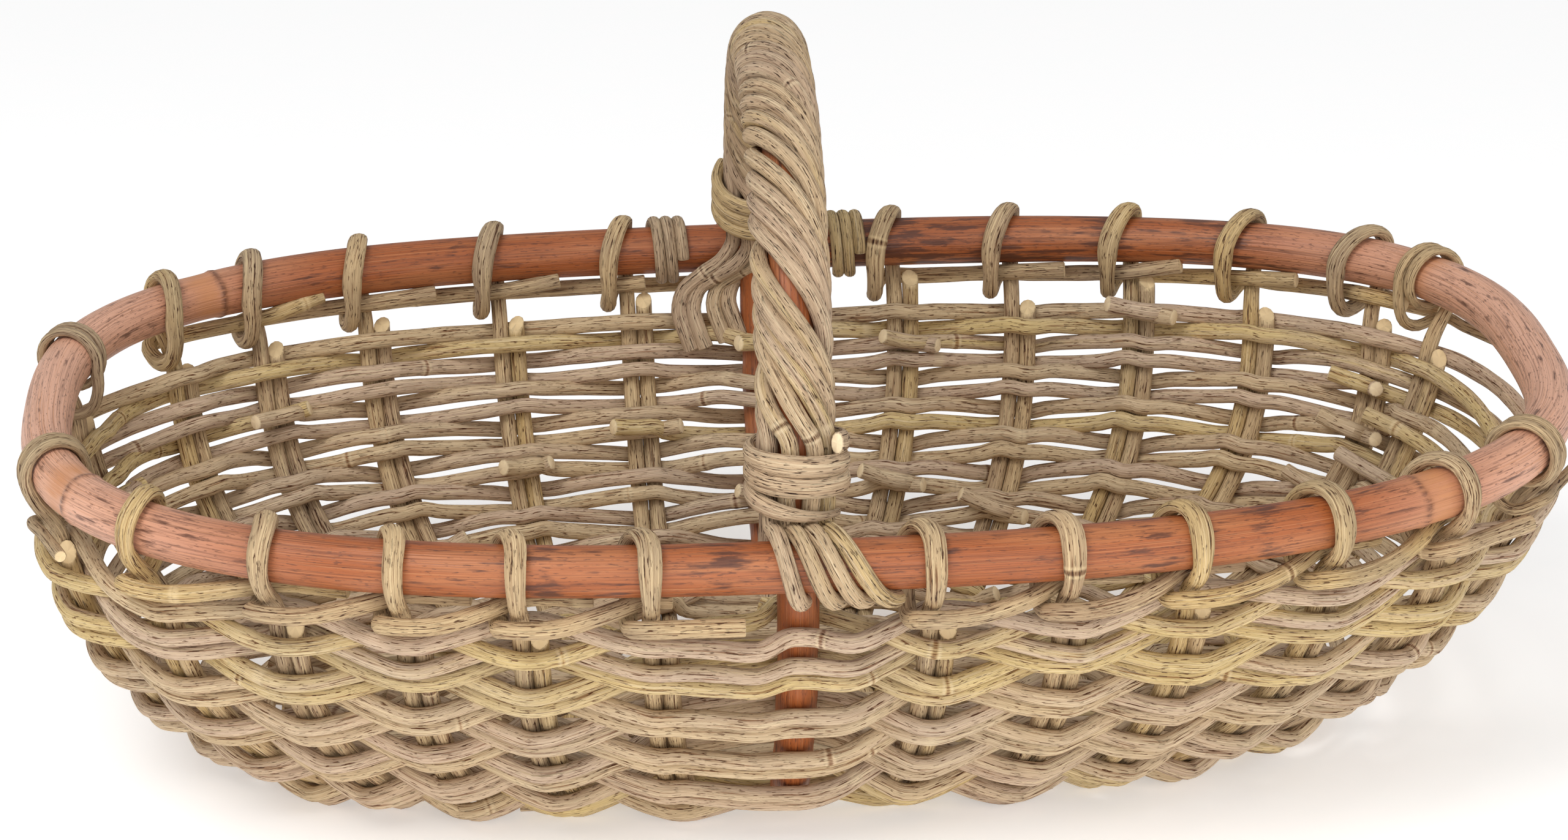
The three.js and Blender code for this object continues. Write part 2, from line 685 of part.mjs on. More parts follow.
rimHoop();
handleBow();
addStrands();
collar(-1);
collar(1);
binding(backStakeShares[leftPairCount - 1] * rimHalfLength + bindingFromLeftPair, "left_rim_binding");
binding(backStakeShares[leftPairCount] * rimHalfLength - bindingFromRightPair, "right_rim_binding");
addStakes();
addWeave();
console.log("least gap between turns of a winding: " + Math.min(...windingGaps).toFixed(2) + " mm");

// Set the basket down on the undersides of its base rods, with its middle over zero.
const bounds = new THREE.Box3().setFromObject(basket);
const middle = bounds.getCenter(new THREE.Vector3());
basket.position.set(-middle.x, -middle.y, wallDepth + baseLift);

export default basket;
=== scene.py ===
import math
import bpy
import numpy as np
from mathutils import Matrix, Vector


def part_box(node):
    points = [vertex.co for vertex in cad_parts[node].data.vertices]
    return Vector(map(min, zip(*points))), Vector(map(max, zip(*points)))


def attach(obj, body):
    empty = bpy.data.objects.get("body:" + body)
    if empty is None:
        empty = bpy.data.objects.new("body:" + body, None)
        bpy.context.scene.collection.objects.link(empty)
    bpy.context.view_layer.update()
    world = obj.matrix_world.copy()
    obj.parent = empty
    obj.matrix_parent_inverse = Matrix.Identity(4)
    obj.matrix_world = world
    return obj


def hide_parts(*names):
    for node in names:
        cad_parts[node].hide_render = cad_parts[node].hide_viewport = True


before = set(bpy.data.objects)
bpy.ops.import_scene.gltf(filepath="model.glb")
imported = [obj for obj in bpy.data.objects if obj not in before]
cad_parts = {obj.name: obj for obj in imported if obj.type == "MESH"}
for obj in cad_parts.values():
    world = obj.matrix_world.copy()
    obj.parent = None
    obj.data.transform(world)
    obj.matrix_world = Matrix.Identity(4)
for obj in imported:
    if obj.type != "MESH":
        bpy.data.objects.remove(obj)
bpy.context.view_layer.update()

print("frame loaded,", len(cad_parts), "nodes")

# A dictionary whose values are also read and set as names after a dot.
class Values(dict):
    __getattr__ = dict.__getitem__
    __setattr__ = dict.__setitem__


# The basket's own shape, in metres. While the pieces are worked out, zero is the middle of the rim.
shape = Values(
    rimHalfLength=0.315,
    rimHalfWidth=0.189,
    rimSquareness=2.77,
    rimEndRise=0.004,
    rimRadius=0.011,
    rimHeight=0.15325,  # middle of the rim above the ground
    wallDepth=0.143,
    stakeTopDrop=0.0285,
    levelPitch=0.015,
    baseLevels=6,
    wallLevels=10,
    baseHalfLength=0.220,
    baseHalfWidth=0.090,
    baseSquareness=2.6,
    baseShift=-0.012,
    depthShares=[0, 0.42, 0.944, 1],
    sideInsetShares=[0, 0.139, 0.753, 1],
    endInsetShares=[0, -0.084, 0.61, 1],
)
topLevel = shape.baseLevels + shape.wallLevels
rimLow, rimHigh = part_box("rim_hoop")
rimMiddle = np.array([(rimLow.x + rimHigh.x) / 2, (rimLow.y + rimHigh.y) / 2, shape.rimHeight])
zUp = np.array([0.0, 0.0, 1.0])


# The size of a value raised to a power, with its sign kept.
def signedPower(value, power):
    return np.sign(value) * np.abs(value) ** power


def mix(a, b, share):
    return a + (b - a) * share


def easeIn(low, high, value):
    t = np.clip((value - low) / (high - low), 0, 1)
    return t * t * (3 - 2 * t)


def unit(vectors):
    return vectors / np.linalg.norm(vectors, axis=-1, keepdims=True)


def dot(a, b):
    return (a * b).sum(axis=-1, keepdims=True)


# How far along a line each of its points is.
def lengthAlong(line):
    return np.r_[0, np.cumsum(np.linalg.norm(np.diff(line, axis=0), axis=1))]


# Bezier curve through four control shares.
def bezier(shares, t):
    s = 1 - t
    return s**3 * shares[0] + 3 * s * s * t * shares[1] + 3 * s * t * t * shares[2] + t**3 * shares[3]


# The side wall's profile as a table: how far down it each value of the Bezier parameter lies, in metres.
profileT = np.linspace(0, 1, 201)
profileRun = np.stack([
    bezier(shape.sideInsetShares, profileT) * (shape.rimHalfWidth - shape.baseHalfWidth),
    bezier(shape.depthShares, profileT) * shape.wallDepth,
], axis=1)
profileAt = lengthAlong(profileRun)
wallPitch = (profileAt[-1] - shape.stakeTopDrop) / shape.wallLevels


# Levels of the basket, counted from the middle of the base: each is an oval that climbs the Bezier profile of
# the wall, or shrinks by one pitch a level on the base.
def ovalAt(level):
    level = np.asarray(level, float)
    inwards = np.maximum(shape.baseLevels - level, 0) * shape.levelPitch
    climbed = np.maximum(level - shape.baseLevels, 0) * wallPitch
    t = np.interp(profileAt[-1] - climbed, profileAt, profileT)
    depthShare, endInset, sideInset = (
        bezier(shape[key], t) for key in ("depthShares", "endInsetShares", "sideInsetShares")
    )
    return Values(
        a=mix(shape.rimHalfLength, shape.baseHalfLength, endInset) - inwards,
        b=mix(shape.rimHalfWidth, shape.baseHalfWidth, sideInset) - inwards,
        depth=depthShare * shape.wallDepth,
        squareness=mix(shape.rimSquareness, shape.baseSquareness, depthShare),
        shift=shape.baseShift * depthShare,
    )


rimOval = Values(
    a=shape.rimHalfLength, b=shape.rimHalfWidth, depth=0.0, squareness=shape.rimSquareness, shift=0.0,
)


# A point of a superellipse: each half axis times the signed power of cosine or sine, and its ends a little
# raised.
def ovalPoint(oval, angle):
    power = 2 / oval.squareness
    x = oval.a * signedPower(np.cos(angle), power)
    y = oval.b * signedPower(np.sin(angle), power)
    rise = shape.rimEndRise * (x / shape.rimHalfLength) ** 2 * (1 - oval.depth / shape.wallDepth)
    return np.stack(np.broadcast_arrays(x + oval.shift, y, rise - oval.depth), axis=-1)


# Direction along a superellipse, anticlockwise from above, from its gradient.
def ovalTangent(oval, angle):
    power = 2 / oval.squareness
    x, y = signedPower(np.cos(angle), power), signedPower(np.sin(angle), power)
    slope = oval.squareness - 1
    along = [-signedPower(y, slope) / oval.b, signedPower(x, slope) / oval.a, np.zeros_like(x)]
    return unit(np.stack(np.broadcast_arrays(*along), axis=-1))


# The angle at which an oval has a given X, on the front (side -1) or the back (side 1).
def angleAtX(oval, x, side):
    share = np.clip((x - oval.shift) / oval.a, -1, 1)
    return side * np.arccos(np.clip(signedPower(share, oval.squareness / 2), -1, 1))


# How far an upright rod has moved from its place on the rim to its place on the base.
def settled(oval):
    return (oval.depth / shape.wallDepth) ** 3


# An upright's place on some levels, with the directions along the course, down the wall and out of it.
def standing(level, angleOf):
    level = np.asarray(level, float)
    oval = ovalAt(level)
    angle = angleOf(oval)
    down = unit(ovalPoint(ovalAt(np.maximum(level - 0.5, 0)), angle) - ovalPoint(ovalAt(level + 0.5), angle))
    along = ovalTangent(oval, angle)
    along = unit(along - dot(along, down) * down)
    return ovalPoint(oval, angle), along, down, np.cross(down, along)


stakes = Values(
    radius=0.0037,
    frontShares=[-0.841, -0.683, -0.524, -0.378, -0.216, 0.133, 0.302, 0.46, 0.638, 0.803],
    backShares=[-0.847, -0.726, -0.574, -0.38, -0.193, 0.198, 0.369, 0.541, 0.709, 0.864],
    baseShares=[-0.864, -0.736, -0.59, -0.412, -0.2, 0.2, 0.412, 0.59, 0.736, 0.864],
    leftPairs=5,
    endRimAngles={"front_left": -163.7, "back_left": 164.3, "front_right": -24.6, "back_right": 23.2},
    endBaseAngle=14,
    underShares=[0.05, 0.15, 0.35, 0.5, 0.65, 0.85, 0.95],
    # How far the cut tops stand above the top level, in levels, at the front (-1) and the back (1).
    cutLevels={-1: [-0.22] * 10, 1: [0, 0.1, 0.4, 0.1, 0.6, 1.0, 0.05, 0.9, 0.1, 0.3]},
    cutSpread=0.08,
    cutSlant=[-1, 0.1],  # the way that the cuts face, in Y and Z
    cutLean=0.3,
    endCut=0.1,
)


def crossAngle(side, rimShare, baseShare):
    def angleOf(oval):
        onBase = shape.baseShift + baseShare * shape.baseHalfLength
        x = mix(rimShare * shape.rimHalfLength, onBase, settled(oval))
        return angleAtX(oval, x, side)

    return angleOf


def endAngle(rimAngle):
    onBase = 180 - stakes.endBaseAngle if abs(rimAngle) > 90 else stakes.endBaseAngle
    return lambda oval: np.radians(mix(rimAngle, math.copysign(onBase, rimAngle), settled(oval)))


frontPairs = [crossAngle(-1, r, b) for r, b in zip(stakes.frontShares, stakes.baseShares)]
backPairs = [crossAngle(1, r, b) for r, b in zip(stakes.backShares, stakes.baseShares)]
endPairs = {name: endAngle(angle) for name, angle in stakes.endRimAngles.items()}


# A smooth line through points: cubic pieces whose slopes come from both neighbours, laid out again at even
# steps. Columns past the first three, such as the radius, are carried along.
def lineThrough(table, step):
    table = np.asarray(table, float)
    at = lengthAlong(table[:, :3])
    slopes = np.gradient(table, at, axis=0)
    fine = np.linspace(0, at[-1], max(int(at[-1] / step), 3) + 1)
    k = np.clip(np.searchsorted(at, fine, side="right") - 1, 0, len(at) - 2)
    span = np.diff(at)[k][:, None]
    t = (fine - at[k])[:, None] / span
    return (
        (2 * t**3 - 3 * t**2 + 1) * table[k] + (t**3 - 2 * t**2 + t) * slopes[k] * span
        + (3 * t**2 - 2 * t**3) * table[k + 1] + (t**3 - t**2) * slopes[k + 1] * span
    )


# Tangents of a line and a square direction that turns as little as it can: at each point any square direction
# is taken, the turn from one to the next is measured, and the running sum of the turns is taken back.
def steadyFrames(line):
    along = unit(np.gradient(line, axis=0))
    across = unit(np.cross(along, np.eye(3)[np.argmin(np.abs(along), axis=1)]))
    third = np.cross(along, across)
    bend = np.cross(along[:-1], along[1:])
    carried = across[:-1] + np.cross(bend, across[:-1])
    carried += np.cross(bend, np.cross(bend, across[:-1])) / (1 + dot(along[:-1], along[1:]))
    turn = np.arctan2(dot(carried, third[1:]), dot(carried, across[1:]))[:, 0]
    turn = np.r_[0, np.cumsum(turn)][:, None]
    return along, np.cos(turn) * across + np.sin(turn) * third


# A slow, smooth, seeded unevenness: three sines of unlike wavelengths with random starts.
def wander(at, rng, wave, size):
    starts = rng.uniform(0, 2 * np.pi, 3)
    waves = [1, 1.73, 3.1]
    shares = [0.55, 0.3, 0.15]
    return size * sum(s * np.sin(2 * np.pi * w * at / wave + p) for s, w, p in zip(shares, waves, starts))


rods = Values(
    step=0.003,
    sides=12,
    patternReach=5,  # metres of pattern, among which each rod starts by chance
    nodeSpacing=0.36,  # growth rings along a rod
    nodeSpread=[0.8, 1.25],
    nodeWidth=0.0015,
    nodeHeightShare=0.07,
    unevenWave=0.05,
    unevenShare=0.045,
    cutBevel=0.0004,
    bevelShare=0.86,
    slantLength=0.008,
    slantShare=0.97,
    slantEdge=0.0002,  # a rod is bare where a slanted cut took away more than this
    poleTint=0.5,
    sharpAngle=42,  # degrees between faces from which an edge shows
)
seeds = {
    "bow": 5, "strand": 20, "collar": 40, "binding": 50, "crossStakes": 100, "endStakes": 129, "course": 200,
    "base": 300,
}


def seeded(kind, number=0):
    return np.random.default_rng(seeds[kind] + number)


# A row of values with its first and last once more, for the bevels at a rod's ends.
def padded(row):
    return np.concatenate([row[:1], row, row[-1:]])


# Directions from a line to the points of its rings: cosine and sine of the turn in the frame of the line.
def ringCircle(sides, across, third):
    turn = 2 * np.pi * np.arange(sides) / sides
    return np.cos(turn)[None, :, None] * across[:, None] + np.sin(turn)[None, :, None] * third[:, None]


# The faces from rings of points to the next rings. On the map, U is metres along the rod and V is the share
# of the way round it.
def skin(rings, nextRings, start, stop):
    sides = rings.shape[1]
    corners = [rings, np.roll(rings, -1, axis=1), np.roll(nextRings, -1, axis=1), nextRings]
    u0, u1 = np.repeat(start[:, None], sides, 1), np.repeat(stop[:, None], sides, 1)
    share = np.arange(sides + 1) / sides
    v0, v1 = np.broadcast_to(share[:-1], u0.shape), np.broadcast_to(share[1:], u0.shape)
    uv = [np.stack(pair, -1) for pair in ((u0, v0), (u0, v1), (u1, v1), (u1, v0))]
    return np.stack(corners, -1).reshape(-1, 4), np.stack(uv, 2).reshape(-1, 4, 2)


# One rod as a tube. Radius and place come from the line; each ring is the radius times cosine and sine in the
# frame of the line. Where it lies on something it is pressed: the part of a ring's offset that runs along the
# given normals shrinks. Its ends are cut square with a small bevel, or at a slant towards a direction.
def tube(line, radius, rng, press=None, slants=(None, None), sides=rods.sides, tint=None, nodes=True):
    along, across = steadyFrames(line)
    third = np.cross(along, across)
    at = lengthAlong(line)
    tint = rng.uniform() if tint is None else tint
    offset = rng.uniform(0, rods.patternReach)
    size = radius * (1 + wander(at, rng, rods.unevenWave, rods.unevenShare))
    spacing = rods.nodeSpacing * rng.uniform(*rods.nodeSpread)
    ring = (at + offset) / spacing % 1 * spacing
    ring = np.exp(-((np.minimum(ring, spacing - ring) / rods.nodeWidth) ** 2)) * nodes
    size = size * (1 + rods.nodeHeightShare * ring)
    bevel = rods.cutBevel
    line = np.concatenate([line[:1] - along[:1] * bevel, line, line[-1:] + along[-1:] * bevel])
    size = np.r_[size[0] * rods.bevelShare, size, size[-1] * rods.bevelShare]
    at = np.r_[-bevel, at, at[-1] + bevel]
    along, across, third, ring = (padded(row) for row in (along, across, third, ring))
    circle = ringCircle(sides, across, third)
    if press is not None:
        normals, amount = (padded(row) for row in press)
        circle = circle - dot(circle, normals[:, None]) * amount[:, None, None] * normals[:, None]
    points = line[:, None] + size[:, None, None] * circle
    cut = np.zeros(points.shape[:2])
    caps = [line[0], line[-1]]
    halfSlant = rods.slantLength / 2
    for end, slant, sign in zip((0, -1), slants, (1, -1)):
        if slant is not None:
            lean = dot(circle, unit(np.asarray(slant)))[..., 0] * halfSlant + halfSlant
            back = np.maximum(lean - sign * (at - at[end])[:, None], 0)
            points = points + sign * along[:, None] * back[..., None] * rods.slantShare
            cut = np.maximum(cut, back > rods.slantEdge)
            caps[end] = points[end].mean(axis=0)
    cut[0] = cut[-1] = 1
    count = len(line) * sides
    grid = np.arange(count).reshape(-1, sides)
    beside = np.roll(grid, -1, axis=1)
    quads, quadUv = skin(grid[:-1], grid[1:], (at + offset)[:-1], (at + offset)[1:])
    middles = np.repeat([count, count + 1], sides)
    triangles = np.stack([middles, np.r_[beside[0], grid[-1]], np.r_[grid[0], beside[-1]]], -1)
    capUv = np.stack([np.repeat((at + offset)[[0, -1]], sides), np.tile(np.arange(sides) / sides, 2)], -1)
    return {
        "points": np.concatenate([points.reshape(-1, 3), caps]), "quads": quads, "quadUv": quadUv,
        "triangles": triangles, "triUv": np.repeat(capUv[:, None], 3, axis=1),
        "tint": np.full(count + 2, tint), "cut": np.r_[cut.ravel(), 1, 1],
        "ring": np.r_[np.repeat(ring, sides), 0, 0], "patch": np.zeros(count + 2),
    }


# A pole as a closed hoop: the same rings, but with the radius and marks given for every point.
def hoop(line, across, third, size, sides, ring, patch):
    count = len(line) * sides
    grid = np.arange(count).reshape(-1, sides)
    at = lengthAlong(np.concatenate([line, line[:1]]))
    quads, quadUv = skin(grid, np.roll(grid, -1, axis=0), at[:-1], at[1:])
    points = line[:, None] + size[..., None] * ringCircle(sides, across, third)
    return {
        "points": points.reshape(-1, 3), "quads": quads, "quadUv": quadUv,
        "triangles": np.zeros((0, 3), int), "triUv": np.zeros((0, 3, 2)),
        "tint": np.full(count, rods.poleTint), "cut": np.zeros(count),
        "ring": ring.ravel(), "patch": patch.ravel(),
    }


# All the tubes of one piece go into one mesh, which has its node's name in camel case. Its place is in its
# points, and its object stays at zero.
def addPiece(node, parts, slot):
    first, *others = node.split("_")
    name = first + "".join(word.capitalize() for word in others)
    starts = np.cumsum([0] + [len(p["points"]) for p in parts])
    points = np.concatenate([p["points"] for p in parts]) + rimMiddle
    quads, triangles = (
        np.concatenate([p[key] + s for p, s in zip(parts, starts)]) for key in ("quads", "triangles"))
    uv = np.concatenate([p[key].reshape(-1, 2) for key in ("quadUv", "triUv") for p in parts])
    mesh = bpy.data.meshes.new(name)
    mesh.vertices.add(len(points))
    mesh.vertices.foreach_set("co", points.astype(np.float32).ravel())
    mesh.loops.add(quads.size + triangles.size)
    mesh.loops.foreach_set("vertex_index", np.r_[quads.ravel(), triangles.ravel()].astype(np.int32))
    loopStarts = np.r_[np.arange(len(quads)) * 4, quads.size + np.arange(len(triangles)) * 3]
    mesh.polygons.add(len(loopStarts))
    mesh.polygons.foreach_set("loop_start", loopStarts.astype(np.int32))
    mesh.uv_layers.new(name="rodMap").data.foreach_set("uv", uv.astype(np.float32).ravel())
    for key in ("tint", "cut", "ring", "patch"):
        values = np.concatenate([p[key] for p in parts]).astype(np.float32)
        mesh.attributes.new(key, "FLOAT", "POINT").data.foreach_set("value", values)
    mesh.update(calc_edges=True)
    mesh.polygons.foreach_set("use_smooth", np.ones(len(mesh.polygons), bool))
    mesh.set_sharp_from_angle(angle=math.radians(rods.sharpAngle))
    mesh.materials.append(materials[slot])
    piece = bpy.data.objects.new(name, mesh)
    bpy.context.scene.collection.objects.link(piece)
    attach(piece, "root")
    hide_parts(node)


# Screen colours, 0 to 255, as the linear values that shaders take.
def screen(red, green, blue):
    share = np.array([red, green, blue]) / 255
    linear = np.where(share <= 0.04045, share / 12.92, ((share + 0.055) / 1.055) ** 2.4)
    return (*linear.tolist(), 1.0)


# Gives a shader node's input a value or a link.
def feed(tree, socket, value):
    if isinstance(value, bpy.types.NodeSocket):
        tree.links.new(value, socket)
    else:
        socket.default_value = value


# Adds a shader node, sets its options, and feeds its inputs.
def put(tree, kind, inputs=None, **options):
    made = tree.nodes.new(kind)
    for key, value in options.items():
        setattr(made, key, value)
    for key, value in (inputs or {}).items():
        feed(tree, made.inputs[key], value)
    return made


def newGroup(name, inputs, outputs):
    group = bpy.data.node_groups.new(name, "ShaderNodeTree")
    for socket, value in inputs.items():
        kind = "NodeSocketColor" if isinstance(value, tuple) else "NodeSocketFloat"
        group.interface.new_socket(socket, in_out="INPUT", socket_type=kind).default_value = value
    for socket, kind in outputs.items():
        group.interface.new_socket(socket, in_out="OUTPUT", socket_type="NodeSocket" + kind)
    return group, group.nodes.new("NodeGroupInput").outputs, group.nodes.new("NodeGroupOutput").inputs


def maths(tree, operation, a, b=0.0, c=0.0, clamp=False):
    return put(tree, "ShaderNodeMath", {0: a, 1: b, 2: c}, operation=operation, use_clamp=clamp).outputs[0]


def times(tree, a, b):
    return maths(tree, "MULTIPLY", a, b)


def mark(tree, name):
    return put(tree, "ShaderNodeAttribute", attribute_name=name).outputs["Fac"]


def blendColors(tree, factor, a, b, kind="MIX"):
    made = put(tree, "ShaderNodeMix", {"Factor": factor}, data_type="RGBA", blend_type=kind)
    colorA, colorB = made.inputs[6], made.inputs[7]
    feed(tree, colorA, a)
    feed(tree, colorB, b)
    return made.outputs[2]


def band(tree, value, low, high, toLow=0.0, toHigh=1.0):
    inputs = {"Value": value, "From Min": low, "From Max": high, "To Min": toLow, "To Max": toHigh}
    return put(tree, "ShaderNodeMapRange", inputs, interpolation_type="SMOOTHSTEP").outputs[0]


tintShift = 37.0  # how far one whole step of tint moves a rod's pattern


# Noise that runs with a rod: the map's U is metres along it, and V is turned into cosine and sine, so that no
# seam shows. The tint moves each rod's pattern.
def rodNoiseGroup():
    inputs = {"Along": 40.0, "Round": 2.0, "Detail": 3.0, "Start": 0.0}
    group, given, out = newGroup("rodNoise", inputs, {"Value": "Float"})
    uv = put(group, "ShaderNodeSeparateXYZ", {0: put(group, "ShaderNodeUVMap", uv_map="rodMap").outputs[0]})
    turn = times(group, uv.outputs[1], 2 * math.pi)
    shifted = maths(group, "MULTIPLY_ADD", mark(group, "tint"), tintShift, given["Start"])
    x = maths(group, "MULTIPLY_ADD", uv.outputs[0], given["Along"], shifted)
    y, z = (times(group, maths(group, wave, turn), given["Round"]) for wave in ("COSINE", "SINE"))
    place = put(group, "ShaderNodeCombineXYZ", {0: x, 1: y, 2: z}).outputs[0]
    noise = put(group, "ShaderNodeTexNoise", {"Vector": place, "Scale": 1.0, "Detail": given["Detail"]})
    group.links.new(noise.outputs["Fac"], out["Value"])
    return group


rodNoise = rodNoiseGroup()


# Noises from a table of how fast each runs along and round a rod, its detail, and where it starts.
def noises(tree, table):
    made = {}
    for name, values in table.items():
        inputs = dict(zip(("Along", "Round", "Detail", "Start"), values))
        made[name] = put(tree, "ShaderNodeGroup", inputs, node_tree=rodNoise).outputs["Value"]
    return made


# The rattan's noises, and for each layer where it starts and is full, and its values there.
rattanNoises = {
    "slow": [6, 0.7, 3, 0], "fibre": [60, 16, 4, 3], "streak": [52, 4.6, 5, 9], "dots": [230, 7, 3, 17],
    "light": [22, 6, 4, 29],
}
rattanBands = {
    "tone": [0.1, 0.9], "yellow": [0.7, 0.84, 0, 0.85], "grey": [0.42, 0.68], "streak": [0.53, 0.68],
    "fine": [0.42, 0.7, 0, 0.36], "speck": [0.6, 0.67], "light": [0.5, 0.64, 0, 0.5],
    "edge": [0.1, 0.45, 0, 0.4], "edgeEnd": [0.45, 0.8, 1, 0], "ring": [0.5, 0.9],
    "ringFibre": [0.35, 0.6, 0.25, 0.95], "face": [0.3, 0.6, 0.95, 0.75], "rough": [0.2, 0.8, 0.62, 0.82],
}


# Dry rattan core: a base colour for each rod between two tones, one rod in four yellower, brown streaks and
# specks, grey weathering, dark growth rings with a pale edge, light cut ends, and fine fibres for the bump.
def rattanGroup():
    group, given, out = newGroup("dryRattan", {
        "Tone": (0.3, 0.2, 0.1, 1), "Other Tone": (0.4, 0.3, 0.1, 1), "Yellow": (0.5, 0.4, 0.2, 1),
        "Streak Color": (0.1, 0.05, 0.02, 1), "Cut Color": (0.6, 0.45, 0.3, 1), "Grey": (0.3, 0.28, 0.25, 1),
        "Streaks": 0.6, "Specks": 0.7, "Weathering": 0.4,
    }, {"Color": "Color", "Roughness": "Float", "Height": "Float"})
    noise = noises(group, rattanNoises)

    def shown(value, layer):
        return band(group, value, *rattanBands[layer])

    tint, cut, ring = (mark(group, name) for name in ("tint", "cut", "ring"))
    slow = maths(group, "SUBTRACT", noise["slow"], 0.5)
    rodTone = maths(group, "FRACT", times(group, tint, 7.0))
    tone = shown(maths(group, "ADD", rodTone, slow), "tone")
    yellow = shown(maths(group, "MULTIPLY_ADD", slow, 0.5, tint), "yellow")
    place = put(group, "ShaderNodeTexCoord").outputs["Object"]
    patches = put(group, "ShaderNodeTexNoise", {"Vector": place, "Scale": 14.0, "Detail": 3.0}).outputs["Fac"]
    grey = times(group, shown(patches, "grey"), given["Weathering"])
    strong = shown(noise["streak"], "streak")
    streak = times(group, strong, given["Streaks"])
    fine = shown(noise["fibre"], "fine")
    dots = maths(group, "MULTIPLY_ADD", strong, 0.07, noise["dots"])
    speck = times(group, shown(dots, "speck"), given["Specks"])
    light = shown(noise["light"], "light")
    edge = times(group, shown(ring, "edge"), shown(ring, "edgeEnd"))
    dark = times(group, shown(ring, "ring"), shown(noise["fibre"], "ringFibre"))
    face = times(group, cut, shown(noise["fibre"], "face"))
    color = blendColors(group, tone, given["Tone"], given["Other Tone"])
    for amount, paint, kind in (
        (yellow, "Yellow", "MIX"), (grey, "Grey", "MIX"), (streak, "Streak Color", "MULTIPLY"),
        (fine, "Streak Color", "MULTIPLY"), (speck, "Streak Color", "MULTIPLY"),
        (times(group, speck, 0.5), "Streak Color", "MULTIPLY"), (light, "Cut Color", "MIX"),
        (edge, "Cut Color", "MIX"), (dark, "Streak Color", "MULTIPLY"), (face, "Cut Color", "MIX"),
    ):
        color = blendColors(group, amount, color, given[paint], kind)
    rough = maths(group, "MULTIPLY_ADD", streak, 0.1, shown(noise["fibre"], "rough"))
    height = maths(group, "MULTIPLY_ADD", maths(group, "ADD", speck, dark), -0.6, noise["fibre"])
    for socket, value in (("Color", color), ("Roughness", rough), ("Height", height)):
        group.links.new(value, out[socket])
    return group


dryRattan = rattanGroup()


def surface(name):
    material = bpy.data.materials.new(name)
    material.use_nodes = True
    tree = material.node_tree
    return material, tree, tree.nodes["Principled BSDF"]


def finishSurface(tree, shader, color, rough, height, depth):
    bump = put(tree, "ShaderNodeBump", {"Height": height, "Distance": depth, "Strength": 1.0})
    for socket, value in (("Base Color", color), ("Roughness", rough), ("Normal", bump.outputs[0])):
        tree.links.new(value, shader.inputs[socket])


def rattan(name, bumpDepth, values):
    material, tree, shader = surface(name)
    look = put(tree, "ShaderNodeGroup", values, node_tree=dryRattan).outputs
    shader.inputs["Specular IOR Level"].default_value = 0.35
    finishSurface(tree, shader, look["Color"], look["Roughness"], look["Height"], bumpDepth)
    return material


pole = Values(
    tone=screen(166, 90, 44),
    ends=screen(232, 180, 152),
    peach=screen(202, 138, 92),
    dark=screen(80, 42, 28),
    bumpDepth=0.0003,
    noises={
        "slow": [9, 0.9, 3, 2], "grain": [14, 13, 5, 11], "fine": [30, 34, 3, 41], "dots": [260, 16, 3, 71],
        "light": [10, 24, 2, 21], "blotch": [60, 4.4, 6, 4], "torn": [160, 9, 3, 51],
    },
    bands={
        "slow": [0.45, 0.7, 0, 0.4], "ends": [0.19, 0.315, 0, 0.9], "grain": [0.48, 0.68, 0, 0.42],
        "fine": [0.52, 0.66, 0, 0.42], "dots": [0.6, 0.66, 0, 0.6], "light": [0.58, 0.66, 0, 0.45],
        "blotch": [0.56, 0.72, 0, 0.85], "torn": [0.36, 0.6, 0.25, 1], "rough": [0.3, 0.7, 0.36, 0.52],
    },
)


# The stained pole: orange-brown with slow lighter and darker stretches, long grain lines, short dark dashes,
# peach patches and torn dark edges at the growth rings, and paler towards the two ends of the basket.
def poleMaterial():
    material, tree, shader = surface("stainedPole")
    noise = noises(tree, pole.noises)

    def shown(value, layer):
        return band(tree, value, *pole.bands[layer])

    across = put(tree, "ShaderNodeSeparateXYZ", {0: put(tree, "ShaderNodeTexCoord").outputs["Object"]})
    patch, ring, cut = (mark(tree, name) for name in ("patch", "ring", "cut"))
    light = shown(noise["light"], "light")
    dots = maths(tree, "MULTIPLY_ADD", patch, -0.05, noise["dots"])
    blotch = maths(tree, "MULTIPLY_ADD", patch, -0.16, noise["blotch"])
    uneven = maths(tree, "MULTIPLY_ADD", noise["blotch"], 1.6, -0.1, clamp=True)
    beside = maths(tree, "MULTIPLY", uneven, patch, clamp=True)
    torn = times(tree, ring, shown(noise["torn"], "torn"))
    color = pole.tone
    for amount, paint in (
        (shown(noise["slow"], "slow"), "peach"),
        (shown(maths(tree, "ABSOLUTE", across.outputs[0]), "ends"), "ends"),
        (shown(noise["grain"], "grain"), "dark"), (shown(noise["fine"], "fine"), "dark"),
        (shown(dots, "dots"), "dark"), (light, "peach"), (shown(blotch, "blotch"), "dark"),
        (beside, "peach"), (times(tree, torn, 0.8), "dark"), (cut, "peach"),
    ):
        color = blendColors(tree, amount, color, pole[paint])
    rough = maths(tree, "MULTIPLY_ADD", light, 0.3, shown(noise["grain"], "rough"))
    height = maths(tree, "SUBTRACT", maths(tree, "MULTIPLY_ADD", noise["fine"], 0.5, noise["grain"]), torn)
    finishSurface(tree, shader, color, rough, height, pole.bumpDepth)
    return material


